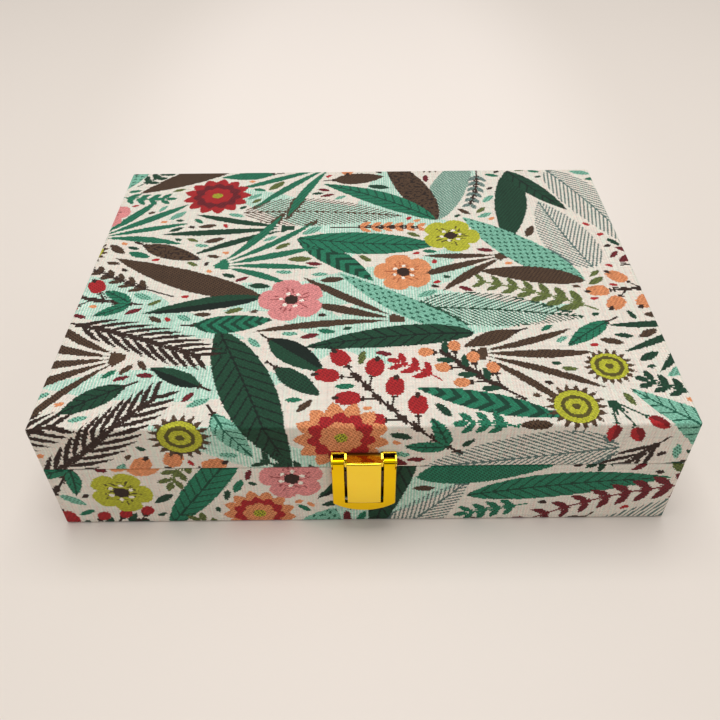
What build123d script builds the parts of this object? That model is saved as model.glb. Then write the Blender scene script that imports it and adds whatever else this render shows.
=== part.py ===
from build123d import *
import os

# A low keepsake box of board covered in woven cloth, lined in satin, with a hinged lid and a brass
# clasp on the front. Millimetres. The origin is at the middle of the underside, +X to the right,
# +Y to the back and +Z up.

# Box
box_width = 254.0
box_depth = 192.0
base_height = 35.5
lid_height = 23.2
seam_gap = 0.3
corner_round = 1.2
top_edge_round = 1.1
rim_edge_round = 0.45

# Board, cloth and lining
wall_thickness = 4.0
floor_board_thickness = 3.0
top_board_thickness = 3.0
wadding_thickness = 1.5
cloth_thickness = 0.6
rim_turn_in = 12.0
floor_turn_in = 15.0
lining_thickness = 1.2
lining_drop = 2.5
lining_edge_round = 0.5
underside_card_thickness = 0.5
underside_inset = 4.0
underside_filler_gap = 0.3

# Padded satin panels
pad_gap = 0.3
pad_corner_round = 4.0
floor_pad_thickness = 4.5
lid_pad_thickness = 3.6
pad_roll = 3.0
pad_crown_reach = 45.0
pad_seam_share = 0.35
pad_shoulder_share = 0.8

# Hinges: the inset is from each end of the box to the middle of its hinge
hinge_inset = 52.0
hinge_leaf_width = 26.0
hinge_leaf_height = 12.0
hinge_leaf_thickness = 0.6
hinge_pin_radius = 0.8
hinge_pin_clearance = 0.04
hinge_pin_head_lip = 0.4
hinge_pin_head_length = 0.6
hinge_barrel_gap = 0.35
knuckle_side_gap = 0.2
knuckle_cut_gap = 0.3
leaf_corner_round = 1.2
leaf_nail_inset_share = 0.2

# Nails
nail_head_radius = 1.3
nail_head_height = 0.5
nail_dome_share = 0.8
nail_shank_radius = 0.6
nail_bite_share = 0.7
nail_fit = 0.02

# Clasp: heights count up and down from the seam, and places out count from the front of the cloth
clasp_width = 25.2
clasp_sheet = 0.95
rail_front_out = 4.9
rail_width = 4.9
rail_slot = 1.1
clasp_pin_height = 6.6
clasp_pin_radius = 0.9
clasp_pin_clearance = 0.05
clasp_pin_end = 0.25

# Hasp
hasp_bar_gap = 0.6
hasp_corner_drop = 0.5
hasp_arc_drop = 4.6
hasp_flange_back = 1.0
hasp_flange_thickness = 0.8
hasp_flange_gap = 0.4
hasp_corner_round = 1.2
hasp_edge_round = 0.5
barrel_side_gap = 0.1

# Lid plate with its ears and its hood
plate_thickness = 0.8
lid_plate_bottom = 1.0
outer_cheek_thickness = 0.5
inner_cheek_thickness = 0.75
inner_cheek_gap = 0.1
ear_rise = 0.9
hood_fall = 0.4
hood_front_drop = 0.2
hood_gap = 0.25
lid_nail_spacing = 8.0
lid_nail_height = 4.2

# Keeper with its tongue
tongue_proud = 1.0
tongue_sheet = 0.8
tongue_bottom = 16.2
tongue_edge_round = 0.3
keeper_wing_gap = 1.0
keeper_wing_lift = 1.2
keeper_plate_top = 1.5

# Overrun of every cut past the face that it goes through
cut_overrun = 1.0

# Levels
seam_level = base_height + seam_gap / 2
lid_bottom = base_height + seam_gap
box_top = lid_bottom + lid_height
floor_board_bottom = underside_card_thickness + cloth_thickness
floor_board_top = floor_board_bottom + floor_board_thickness
base_wall_top = base_height - cloth_thickness
lid_wall_bottom = lid_bottom + cloth_thickness
wadding_top = box_top - cloth_thickness
top_board_top = wadding_top - wadding_thickness
top_board_bottom = top_board_top - top_board_thickness

# Outlines, from the cloth inwards
front_face = -box_depth / 2
back_face = box_depth / 2
board_width = box_width - 2 * cloth_thickness
board_depth = box_depth - 2 * cloth_thickness
board_round = corner_round - cloth_thickness
cavity_width = board_width - 2 * wall_thickness
cavity_depth = board_depth - 2 * wall_thickness
rim_width = cavity_width - 2 * cloth_thickness
rim_depth = cavity_depth - 2 * cloth_thickness
lined_width = rim_width - 2 * lining_thickness
lined_depth = rim_depth - 2 * lining_thickness
pad_width = lined_width - 2 * pad_gap
pad_depth = lined_depth - 2 * pad_gap

# Hinges, from their pins outwards
hinge_hole_radius = hinge_pin_radius + hinge_pin_clearance
hinge_barrel_radius = hinge_hole_radius + hinge_leaf_thickness
hinge_axis_y = back_face + hinge_barrel_gap + hinge_barrel_radius
leaf_cut = hinge_barrel_radius + knuckle_cut_gap
knuckle_length = (hinge_leaf_width - 2 * knuckle_side_gap) / 3
knuckle_pitch = knuckle_length + knuckle_side_gap
hinge_places = {"left": hinge_inset - box_width / 2, "right": box_width / 2 - hinge_inset}

# Clasp, from its pin outwards
clasp_hole_radius = clasp_pin_radius + clasp_pin_clearance
clasp_barrel_radius = clasp_hole_radius + clasp_sheet
clasp_pin_out = rail_front_out - clasp_barrel_radius
clasp_pin_level = seam_level + clasp_pin_height
tongue_width = clasp_width - 2 * (rail_width + rail_slot)
tongue_out = rail_front_out + tongue_proud
hood_out = tongue_out - tongue_sheet - hood_gap
barrel_top = clasp_pin_height + clasp_barrel_radius
ear_top = barrel_top + ear_rise
ear_bottom = clasp_pin_height - clasp_barrel_radius
hood_front = barrel_top - hood_front_drop
hood_back = hood_front + hood_fall
tongue_top = hood_front
hasp_flange_top = ear_bottom - hasp_flange_gap
hasp_window_bottom = tongue_bottom + hasp_bar_gap
hasp_corner_bottom = hasp_window_bottom + hasp_corner_drop
hasp_bottom = hasp_corner_bottom + hasp_arc_drop
keeper_plate_width = clasp_width - 2 * (hasp_flange_thickness + keeper_wing_gap)
keeper_plate_bottom = tongue_bottom - keeper_wing_lift
outer_cheek_inside = clasp_width / 2 - outer_cheek_thickness
inner_cheek_inside = tongue_width / 2 + inner_cheek_gap
barrel_inside = tongue_width / 2 + rail_slot
barrel_outside = outer_cheek_inside - barrel_side_gap

# Nails: how far each goes in, and the (x, z) of each
hinge_nail_depth = hinge_leaf_thickness + cloth_thickness + wall_thickness * nail_bite_share
clasp_nail_depth = plate_thickness + cloth_thickness + wall_thickness * nail_bite_share
hinge_nail_rise = (leaf_cut + hinge_leaf_height) / 2
hinge_nail_xs = [
    place + side * hinge_leaf_width * (1 - 2 * leaf_nail_inset_share) / 2
    for place in hinge_places.values()
    for side in (-1, 1)
]
base_hinge_nail_places = [(x, seam_level - hinge_nail_rise) for x in hinge_nail_xs]
lid_hinge_nail_places = [(x, seam_level + hinge_nail_rise) for x in hinge_nail_xs]
keeper_nail_x = (tongue_width + keeper_plate_width) / 4
keeper_nail_z = seam_level - (keeper_plate_top + keeper_plate_bottom) / 2
keeper_nail_places = [(side * keeper_nail_x, keeper_nail_z) for side in (-1, 1)]
lid_nail_z = seam_level + lid_nail_height
lid_plate_nail_places = [(side * lid_nail_spacing / 2, lid_nail_z) for side in (-1, 1)]


def front_plane(out):
    """The plane that far in front of the front cloth. Its X is to the right and its Y is up."""
    return Plane(origin=(0, front_face - out, 0), x_dir=(1, 0, 0), z_dir=(0, -1, 0))


def back_plane(out):
    """The plane that far behind the back cloth. Its X is to the left and its Y is up."""
    return Plane(origin=(0, back_face + out, 0), x_dir=(-1, 0, 0), z_dir=(0, 1, 0))


def side_plane(x):
    """The plane across the box at x. Its X is to the back and its Y is up."""
    return Plane(origin=(x, 0, 0), x_dir=(0, 1, 0), z_dir=(1, 0, 0))


def nail_marks(places, plane, radius):
    """Circles on a plane, one round each nail."""
    with BuildSketch(plane) as marks:
        with Locations(*[(plane.x_dir.X * x, z) for x, z in places]):
            Circle(radius)
    return marks.sketch


def nails(places, plane, depth):
    """Nails whose domed heads sit on a plane, with their shanks that deep behind it."""
    with BuildPart() as group:
        extrude(nail_marks(places, plane, nail_head_radius), amount=nail_head_height)
        crowns = group.faces().sort_by(Axis(plane.origin, plane.z_dir))[-len(places) :]
        fillet(crowns.edges(), radius=nail_head_height * nail_dome_share)
        extrude(nail_marks(places, plane, nail_shank_radius), amount=-depth)
    return group.part


def finish(part, name):
    """Labels a finished piece and writes it to a file of that name."""
    part.label = name
    export_step(part, f"parts/{name}.step")


os.makedirs("parts", exist_ok=True)

# Where each half has its walls, and the nails that go into them
halves = {
    "base": {
        "bottom": floor_board_top,
        "top": base_wall_top,
        "front_nails": keeper_nail_places,
        "back_nails": base_hinge_nail_places,
    },
    "lid": {
        "bottom": lid_wall_bottom,
        "top": top_board_bottom,
        "front_nails": lid_plate_nail_places,
        "back_nails": lid_hinge_nail_places,
    },
}

# Base floor
with BuildPart() as base_floor_board:
    with BuildSketch(Plane.XY.offset(floor_board_bottom)):
        RectangleRounded(board_width, board_depth, board_round)
    extrude(amount=floor_board_thickness)
finish(base_floor_board.part, "base_floor_board")

# Front and back walls of both halves, full width, with the outline's round corners
for half, place in halves.items():
    wall_height = place["top"] - place["bottom"]
    for end, side in {"front": -1, "back": 1}.items():
        nail_plane = front_plane(0) if side < 0 else back_plane(0)
        shank_depth = cloth_thickness + wall_thickness * nail_bite_share
        holes = nail_marks(place[f"{end}_nails"], nail_plane, nail_shank_radius + nail_fit)
        with BuildPart() as long_wall:
            with BuildSketch(Plane.XY.offset(place["bottom"])):
                RectangleRounded(board_width, board_depth, board_round)
                with Locations((0, side * (cavity_depth + wall_thickness) / 2)):
                    Rectangle(board_width, wall_thickness, mode=Mode.INTERSECT)
            extrude(amount=wall_height)
            extrude(holes, amount=-shank_depth - nail_fit, mode=Mode.SUBTRACT)
        finish(long_wall.part, f"{half}_{end}_wall")

# Left and right walls of both halves, between the front and back walls
for half, place in halves.items():
    for end, side in {"left": -1, "right": 1}.items():
        with BuildPart() as short_wall:
            with BuildSketch(Plane.XY.offset(place["bottom"])):
                with Locations((side * (cavity_width + wall_thickness) / 2, 0)):
                    Rectangle(wall_thickness, cavity_depth)
            extrude(amount=place["top"] - place["bottom"])
        finish(short_wall.part, f"{half}_{end}_wall")

# Base cloth: round the walls, turned over the rim and down inside, and turned under the floor
with BuildPart() as base_cover:
    with BuildSketch(Plane.XY.offset(underside_card_thickness)):
        RectangleRounded(box_width, box_depth, corner_round)
    extrude(amount=base_height - underside_card_thickness)
    fillet(base_cover.faces().filter_by(Plane.XY).edges(), radius=rim_edge_round)
    with BuildSketch(Plane.XY.offset(floor_board_bottom)):
        RectangleRounded(board_width, board_depth, board_round)
    extrude(amount=base_wall_top - floor_board_bottom, mode=Mode.SUBTRACT)
    with BuildSketch(Plane.XY.offset(floor_board_top)):
        Rectangle(rim_width, rim_depth)
    extrude(amount=base_height, mode=Mode.SUBTRACT)
    with BuildSketch(Plane.XY):
        Rectangle(box_width - 2 * floor_turn_in, box_depth - 2 * floor_turn_in)
    extrude(amount=floor_board_bottom, mode=Mode.SUBTRACT)
    with BuildSketch(Plane.XY.offset(base_height - rim_turn_in)):
        Rectangle(cavity_width, cavity_depth)
        Rectangle(rim_width, rim_depth, mode=Mode.SUBTRACT)
    extrude(amount=rim_turn_in - cloth_thickness)
    for side, plane in (("front", front_plane(0)), ("back", back_plane(0))):
        holes = nail_marks(halves["base"][f"{side}_nails"], plane, nail_shank_radius + nail_fit)
        extrude(holes, amount=-cloth_thickness, mode=Mode.SUBTRACT)
finish(base_cover.part, "base_cover")

# Card under the floor, filled out to the board between the turned-under edges of the cloth
with BuildPart() as base_underside_panel:
    with BuildSketch(Plane.XY):
        Rectangle(box_width - 2 * underside_inset, box_depth - 2 * underside_inset)
    extrude(amount=underside_card_thickness)
    filler_inset = floor_turn_in + underside_filler_gap
    with BuildSketch(Plane.XY.offset(underside_card_thickness)):
        Rectangle(box_width - 2 * filler_inset, box_depth - 2 * filler_inset)
    extrude(amount=cloth_thickness)
finish(base_underside_panel.part, "base_underside_panel")

# Satin-covered card round the inside of the base walls
with BuildPart() as base_wall_lining:
    with BuildSketch(Plane.XY.offset(floor_board_top)):
        Rectangle(rim_width, rim_depth)
        Rectangle(lined_width, lined_depth, mode=Mode.SUBTRACT)
    extrude(amount=base_height - lining_drop - floor_board_top)
    fillet(base_wall_lining.faces().sort_by(Axis.Z)[-1].edges(), radius=lining_edge_round)
finish(base_wall_lining.part, "base_wall_lining")


def padded_panel(bottom, thickness, way):
    """A panel with rolled sides and a low crown, its flat back at bottom, facing up or down."""
    levels = [
        (0, pad_roll / 2),
        (pad_seam_share, 0),
        (pad_shoulder_share, pad_roll / 2),
        (pad_shoulder_share / 2 + 1 / 2, pad_roll),
        (1, pad_crown_reach),
    ]
    with BuildPart() as panel:
        for rise_share, inset in levels:
            with BuildSketch(Plane.XY.offset(bottom + way * thickness * rise_share)):
                RectangleRounded(pad_width - 2 * inset, pad_depth - 2 * inset, pad_corner_round)
        loft(ruled=True)
    return panel.part


finish(padded_panel(floor_board_top, floor_pad_thickness, 1), "base_floor_pad")

# The lid's boards and wadding as one rounded block, cut level by level below
with BuildPart() as lid_core:
    with BuildSketch(Plane.XY.offset(lid_wall_bottom)):
        RectangleRounded(board_width, board_depth, board_round)
    extrude(amount=wadding_top - lid_wall_bottom)
    fillet(lid_core.faces().sort_by(Axis.Z)[-1].edges(), radius=top_edge_round - cloth_thickness)

with BuildPart() as lid_top_board:
    add(lid_core.part)
    split(bisect_by=Plane.XY.offset(top_board_top), keep=Keep.BOTTOM)
    split(bisect_by=Plane.XY.offset(top_board_bottom), keep=Keep.TOP)
finish(lid_top_board.part, "lid_top_board")

with BuildPart() as lid_wadding:
    add(lid_core.part)
    split(bisect_by=Plane.XY.offset(top_board_top), keep=Keep.TOP)
finish(lid_wadding.part, "lid_wadding")

# Lid cloth: over the wadding and down the walls, turned over the rim and up inside
with BuildPart() as lid_cover:
    with BuildSketch(Plane.XY.offset(lid_bottom)):
        RectangleRounded(box_width, box_depth, corner_round)
    extrude(amount=lid_height)
    fillet(lid_cover.faces().sort_by(Axis.Z)[-1].edges(), radius=top_edge_round)
    fillet(lid_cover.faces().sort_by(Axis.Z)[0].edges(), radius=rim_edge_round)
    add(lid_core.part, mode=Mode.SUBTRACT)
    with BuildSketch(Plane.XY.offset(lid_bottom)):
        Rectangle(rim_width, rim_depth)
    extrude(amount=cloth_thickness, mode=Mode.SUBTRACT)
    with BuildSketch(Plane.XY.offset(lid_wall_bottom)):
        Rectangle(cavity_width, cavity_depth)
        Rectangle(rim_width, rim_depth, mode=Mode.SUBTRACT)
    extrude(amount=rim_turn_in - cloth_thickness)
    for side, plane in (("front", front_plane(0)), ("back", back_plane(0))):
        holes = nail_marks(halves["lid"][f"{side}_nails"], plane, nail_shank_radius + nail_fit)
        extrude(holes, amount=-cloth_thickness, mode=Mode.SUBTRACT)
finish(lid_cover.part, "lid_cover")

# Satin-covered card round the inside of the lid walls
with BuildPart() as lid_wall_lining:
    with BuildSketch(Plane.XY.offset(lid_bottom + lining_drop)):
        Rectangle(rim_width, rim_depth)
        Rectangle(lined_width, lined_depth, mode=Mode.SUBTRACT)
    extrude(amount=top_board_bottom - lid_bottom - lining_drop)
    fillet(lid_wall_lining.faces().sort_by(Axis.Z)[0].edges(), radius=lining_edge_round)
finish(lid_wall_lining.part, "lid_wall_lining")

finish(padded_panel(top_board_bottom, lid_pad_thickness, -1), "lid_panel_pad")

# Hinge leaves, flat on the cloth, with the knuckles of the base at the ends and the lid's between
leaves = {
    "base": {"way": -1, "knuckles": (-1, 1), "nails": base_hinge_nail_places},
    "lid": {"way": 1, "knuckles": (0,), "nails": lid_hinge_nail_places},
}
for end, place in hinge_places.items():
    for half, leaf in leaves.items():
        way = leaf["way"]
        leaf_align = (Align.CENTER, Align.MIN if way > 0 else Align.MAX)
        web_align = (Align.MIN, Align.MIN if way > 0 else Align.MAX)
        nail_side = [spot for spot in leaf["nails"] if abs(spot[0] - place) < hinge_leaf_width]
        with BuildPart() as hinge_leaf:
            with BuildSketch(back_plane(0)) as outline:
                with Locations((-place, seam_level + way * leaf_cut)):
                    Rectangle(hinge_leaf_width, hinge_leaf_height - leaf_cut, align=leaf_align)
                far_corners = outline.vertices().sort_by(Axis.Y)[:: -way][:2]
                fillet(far_corners, radius=leaf_corner_round)
            extrude(amount=hinge_leaf_thickness)
            for step in leaf["knuckles"]:
                knuckle_x = place + step * knuckle_pitch - knuckle_length / 2
                with BuildSketch(side_plane(knuckle_x)):
                    with Locations((hinge_axis_y, seam_level)):
                        Circle(hinge_barrel_radius)
                    with Locations((back_face + hinge_barrel_gap, seam_level)):
                        Rectangle(hinge_leaf_thickness, leaf_cut + hinge_leaf_thickness, align=web_align)
                extrude(amount=knuckle_length)
            with BuildSketch(side_plane(place)):
                with Locations((hinge_axis_y, seam_level)):
                    Circle(hinge_hole_radius)
            extrude(amount=hinge_leaf_width / 2 + cut_overrun, both=True, mode=Mode.SUBTRACT)
            holes = nail_marks(nail_side, back_plane(0), nail_shank_radius + nail_fit)
            extrude(holes, amount=hinge_leaf_thickness, mode=Mode.SUBTRACT)
        finish(hinge_leaf.part, f"hinge_{end}_{half}_leaf")

    with BuildPart() as hinge_pin:
        with BuildSketch(side_plane(place)):
            with Locations((hinge_axis_y, seam_level)):
                Circle(hinge_pin_radius)
        extrude(amount=hinge_leaf_width / 2, both=True)
        for side in (-1, 1):
            with BuildSketch(side_plane(place + side * hinge_leaf_width / 2)):
                with Locations((hinge_axis_y, seam_level)):
                    Circle(hinge_pin_radius + hinge_pin_head_lip)
            extrude(amount=side * hinge_pin_head_length)
        ends = hinge_pin.faces().sort_by(Axis.X)
        fillet(ends[0].edges() + ends[-1].edges(), radius=hinge_pin_head_lip)
    finish(hinge_pin.part, f"hinge_{end}_pin")

hinge_nail_plane = back_plane(hinge_leaf_thickness)
finish(nails(base_hinge_nail_places, hinge_nail_plane, hinge_nail_depth), "hinge_base_nails")
finish(nails(lid_hinge_nail_places, hinge_nail_plane, hinge_nail_depth), "hinge_lid_nails")

# Keeper: a strip bent out under the clasp and up into the tongue, with a wing at each side
with BuildPart() as latch_keeper:
    with BuildSketch(side_plane(0)):
        with BuildLine():
            Polyline(
                (front_face, seam_level - keeper_plate_top),
                (front_face, seam_level - tongue_bottom),
                (front_face - tongue_out, seam_level - tongue_bottom),
                (front_face - tongue_out, seam_level + tongue_top),
                (front_face - tongue_out + tongue_sheet, seam_level + tongue_top),
                (front_face - tongue_out + tongue_sheet, seam_level - tongue_bottom + tongue_sheet),
                (front_face - plate_thickness, seam_level - tongue_bottom + tongue_sheet),
                (front_face - plate_thickness, seam_level - keeper_plate_top),
                close=True,
            )
        make_face()
    extrude(amount=tongue_width / 2, both=True)
    fillet(latch_keeper.faces().sort_by(Axis.Y)[0].edges(), radius=tongue_edge_round)
    with BuildSketch(front_plane(0)):
        with Locations((0, seam_level - keeper_plate_top)):
            Rectangle(
                keeper_plate_width,
                keeper_plate_bottom - keeper_plate_top,
                align=(Align.CENTER, Align.MAX),
            )
    extrude(amount=plate_thickness)
    holes = nail_marks(keeper_nail_places, front_plane(0), nail_shank_radius + nail_fit)
    extrude(holes, amount=plate_thickness, mode=Mode.SUBTRACT)
finish(latch_keeper.part, "latch_keeper")

clasp_nail_plane = front_plane(plate_thickness)
finish(nails(keeper_nail_places, clasp_nail_plane, clasp_nail_depth), "latch_keeper_nails")

# Lid plate: an ear at each end has two cheeks that hold the pin, and a lower hood comes out between them
cheeks = ((outer_cheek_inside, outer_cheek_thickness), (inner_cheek_inside, inner_cheek_thickness))
hood_half_width = inner_cheek_inside + inner_cheek_thickness
with BuildPart() as latch_lid_plate:
    with BuildSketch(front_plane(0)):
        with Locations((0, seam_level + lid_plate_bottom)):
            Rectangle(clasp_width, ear_top - lid_plate_bottom, align=(Align.CENTER, Align.MIN))
        with Locations((0, seam_level + hood_back)):
            Rectangle(
                2 * inner_cheek_inside,
                ear_top - hood_back,
                align=(Align.CENTER, Align.MIN),
                mode=Mode.SUBTRACT,
            )
    extrude(amount=plate_thickness)
    with BuildSketch(side_plane(0)):
        with BuildLine():
            Polyline(
                (front_face, seam_level + ear_bottom),
                (front_face, seam_level + hood_back),
                (front_face - hood_out, seam_level + hood_front),
                (front_face - hood_out, seam_level + hood_front - plate_thickness),
                (front_face - plate_thickness, seam_level + hood_back - plate_thickness),
                (front_face - plate_thickness, seam_level + ear_bottom),
                close=True,
            )
        make_face()
    extrude(amount=hood_half_width, both=True)
    for inside, thickness in cheeks:
        for side in (-1, 1):
            with BuildSketch(side_plane(side * inside)):
                with BuildLine():
                    Polyline(
                        (front_face, seam_level + ear_bottom),
                        (front_face, seam_level + ear_top),
                        (front_face - clasp_pin_out, seam_level + barrel_top),
                        (front_face - clasp_pin_out, seam_level + ear_bottom),
                        close=True,
                    )
                make_face()
                with Locations((front_face - clasp_pin_out, clasp_pin_level)):
                    Circle(clasp_barrel_radius)
            extrude(amount=side * thickness)
    with BuildSketch(side_plane(0)):
        with Locations((front_face - clasp_pin_out, clasp_pin_level)):
            Circle(clasp_hole_radius)
    extrude(amount=clasp_width / 2 + cut_overrun, both=True, mode=Mode.SUBTRACT)
    holes = nail_marks(lid_plate_nail_places, front_plane(0), nail_shank_radius + nail_fit)
    extrude(holes, amount=plate_thickness, mode=Mode.SUBTRACT)
finish(latch_lid_plate.part, "latch_lid_plate")

finish(nails(lid_plate_nail_places, clasp_nail_plane, clasp_nail_depth), "latch_lid_nails")

with BuildPart() as latch_pin:
    with BuildSketch(side_plane(0)):
        with Locations((front_face - clasp_pin_out, clasp_pin_level)):
            Circle(clasp_pin_radius)
    extrude(amount=clasp_width / 2 + clasp_pin_end, both=True)
    ends = latch_pin.faces().sort_by(Axis.X)
    fillet(ends[0].edges() + ends[-1].edges(), radius=clasp_pin_end)
finish(latch_pin.part, "latch_pin")

# Hasp: a U-shaped flap with a turned-back edge, its rails curled round the pin
hasp_half = clasp_width / 2
hasp_shoulder = seam_level + hasp_flange_top
hasp_corner = seam_level - hasp_corner_bottom
with BuildSketch() as hasp_outline:
    with BuildLine():
        ThreePointArc((-hasp_half, hasp_corner), (0, seam_level - hasp_bottom), (hasp_half, hasp_corner))
        Polyline(
            (hasp_half, hasp_corner),
            (hasp_half, hasp_shoulder),
            (-hasp_half, hasp_shoulder),
            (-hasp_half, hasp_corner),
        )
    make_face()
    fillet(hasp_outline.vertices().sort_by(Axis.Y)[:2], radius=hasp_corner_round)
with BuildPart() as latch_hasp:
    with BuildSketch(front_plane(hasp_flange_back)):
        add(hasp_outline.sketch)
        offset(amount=-hasp_flange_thickness, mode=Mode.SUBTRACT)
        with Locations((0, hasp_shoulder)):
            Rectangle(
                clasp_width - 2 * hasp_flange_thickness,
                2 * hasp_flange_thickness,
                align=(Align.CENTER, Align.MAX),
                mode=Mode.SUBTRACT,
            )
    extrude(amount=rail_front_out - hasp_flange_back)
    with BuildSketch(front_plane(rail_front_out - clasp_sheet)):
        add(hasp_outline.sketch)
        with Locations((0, hasp_shoulder)):
            Rectangle(
                2 * barrel_inside,
                hasp_flange_top + hasp_window_bottom,
                align=(Align.CENTER, Align.MAX),
                mode=Mode.SUBTRACT,
            )
    extrude(amount=clasp_sheet)
    fillet(latch_hasp.faces().sort_by(Axis.Y)[0].edges(), radius=hasp_edge_round)
    with BuildSketch(front_plane(rail_front_out - clasp_sheet)):
        for side in (-1, 1):
            rail_align = (Align.MIN if side > 0 else Align.MAX, Align.MIN)
            with Locations((side * barrel_inside, hasp_shoulder - 2 * hasp_edge_round)):
                Rectangle(
                    barrel_outside - barrel_inside,
                    clasp_pin_height - hasp_flange_top + 2 * hasp_edge_round,
                    align=rail_align,
                )
    extrude(amount=clasp_sheet)
    for side in (-1, 1):
        with BuildSketch(side_plane(side * barrel_inside)):
            with Locations((front_face - clasp_pin_out, clasp_pin_level)):
                Circle(clasp_barrel_radius)
        extrude(amount=side * (barrel_outside - barrel_inside))
    with BuildSketch(side_plane(0)):
        with Locations((front_face - clasp_pin_out, clasp_pin_level)):
            Circle(clasp_hole_radius)
    extrude(amount=clasp_width / 2 + cut_overrun, both=True, mode=Mode.SUBTRACT)
finish(latch_hasp.part, "latch_hasp")
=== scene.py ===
"""Looks of a low keepsake box that is covered in woven cloth, with a hinged lid and a gilt clasp.

Lengths are metres, except in the weave design and the clasp, which count in millimetres and say so.
"""

import logging
import math
from collections.abc import Callable, Sequence
from dataclasses import dataclass, replace
from enum import Enum, IntEnum
from functools import partial
from itertools import product

import bmesh
import bpy
import numpy as np
from mathutils import Matrix, Vector


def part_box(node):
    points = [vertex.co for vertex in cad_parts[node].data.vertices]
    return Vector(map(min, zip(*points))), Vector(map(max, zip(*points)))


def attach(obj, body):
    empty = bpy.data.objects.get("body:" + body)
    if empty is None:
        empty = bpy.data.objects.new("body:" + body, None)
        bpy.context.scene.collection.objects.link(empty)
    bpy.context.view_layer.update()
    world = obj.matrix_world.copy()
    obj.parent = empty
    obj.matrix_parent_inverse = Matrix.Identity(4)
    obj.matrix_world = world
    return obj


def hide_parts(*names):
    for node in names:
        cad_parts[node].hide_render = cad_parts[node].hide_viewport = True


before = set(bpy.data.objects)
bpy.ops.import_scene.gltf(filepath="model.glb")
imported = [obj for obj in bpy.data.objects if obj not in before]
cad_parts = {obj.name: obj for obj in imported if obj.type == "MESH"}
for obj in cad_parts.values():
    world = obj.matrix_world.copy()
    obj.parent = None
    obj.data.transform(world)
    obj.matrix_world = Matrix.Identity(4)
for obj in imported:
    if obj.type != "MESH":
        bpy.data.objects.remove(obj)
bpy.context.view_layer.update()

LOG = logging.getLogger("keepsake_box")
MM = 0.001
SIDES = ("front", "back", "left", "right")

Socket = bpy.types.NodeSocket
Array = np.ndarray
Place = tuple[float, float]
Triple = tuple[float, float, float]
Material = bpy.types.Material
Mesh = bpy.types.Mesh
Node = bpy.types.Node
NodeTree = bpy.types.NodeTree
Object = bpy.types.Object
Colour = Triple


def linear(*channels: float) -> Colour:
    """Turns a colour written as 0 to 255 per channel into scene-linear values."""
    shares = (channel / 255 for channel in channels)
    return tuple(s / 12.92 if s <= 0.04045 else ((s + 0.055) / 1.055) ** 2.4 for s in shares)


class Graph:
    """Adds nodes to one tree and links them."""

    def __init__(self, tree: NodeTree) -> None:
        """Starts on a tree, which keeps the nodes that it has."""
        self.tree = tree

    def node(self, kind: str, inputs: dict[str | int, object] | None = None, **settings: object) -> Node:
        """Adds one node.

        Args:
            kind: The node's type without the ShaderNode in front.
            inputs: What each named or numbered input gets, a socket or a plain value.
            **settings: Properties of the node itself.

        Returns:
            The new node.
        """
        made = self.tree.nodes.new(f"ShaderNode{kind}")
        for name, value in settings.items():
            setattr(made, name, value)
        self.fill(made, inputs or {})
        return made

    def fill(self, node: Node, inputs: dict[str | int, object]) -> None:
        """Feeds several inputs of a node, each with a socket or a plain value."""
        for name, value in inputs.items():
            self.feed(node.inputs[name], value)

    def feed(self, target: Socket, value: object) -> None:
        """Links a socket to the target, or writes a plain value on it."""
        if isinstance(value, bpy.types.NodeSocket):
            self.tree.links.new(value, target)
        elif isinstance(value, (tuple, list)) and target.type == "RGBA":
            target.default_value = (*value[:3], 1.0)
        else:
            target.default_value = value

    def math(self, operation: str, *values: object) -> Socket:
        """Adds a Math node, which gets the values in order, and gives its result."""
        return self.node("Math", dict(enumerate(values)), operation=operation).outputs[0]

    def between(self, factor: object, low: object, high: object) -> Socket:
        """Mixes two numbers: low where the factor is 0, high where it is 1."""
        return self.node("Mix", {0: factor, 2: low, 3: high}, data_type="FLOAT").outputs[0]

    def tint(self, factor: object, low: object, high: object, blend: str = "MIX") -> Socket:
        """Mixes two colours: low where the factor is 0, high where it is 1, or another blend."""
        inputs = {0: factor, 6: low, 7: high}
        return self.node("Mix", inputs, data_type="RGBA", blend_type=blend).outputs[2]

    def parts(self, vector: object) -> tuple[Socket, Socket, Socket]:
        """Splits a vector or a colour into its three numbers."""
        return tuple(self.node("SeparateXYZ", {0: vector}).outputs)

    def vector(self, x: object, y: object, z: object = 0.0) -> Socket:
        """Joins three numbers into a vector."""
        return self.node("CombineXYZ", {0: x, 1: y, 2: z}).outputs[0]

    def noise(self, vector: object, scale: object, detail: float = 2.0) -> Socket:
        """Adds a Noise texture and gives its plain value, from 0 to 1."""
        return self.node("TexNoise", {"Vector": vector, "Scale": scale, "Detail": detail}).outputs["Fac"]

    def place(self) -> Socket:
        """Where the shaded point is on its object."""
        return self.node("TexCoord").outputs["Object"]

    def stretched(self, vector: object, scale: Triple, shift: Triple = (0.0, 0.0, 0.0)) -> Socket:
        """Scales a vector axis by axis and then moves it."""
        return self.node("Mapping", {"Vector": vector, "Location": shift, "Scale": scale}).outputs[0]

    def bump(self, height: object, strength: float, distance: float) -> Socket:
        """The normal that a height gives the surface."""
        inputs = {"Height": height, "Strength": strength, "Distance": distance}
        return self.node("Bump", inputs).outputs[0]

    def group(self, tree: NodeTree, inputs: dict[str, object] | None = None) -> Node:
        """Places a node group with the given inputs."""
        return self.node("Group", inputs, node_tree=tree)


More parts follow.
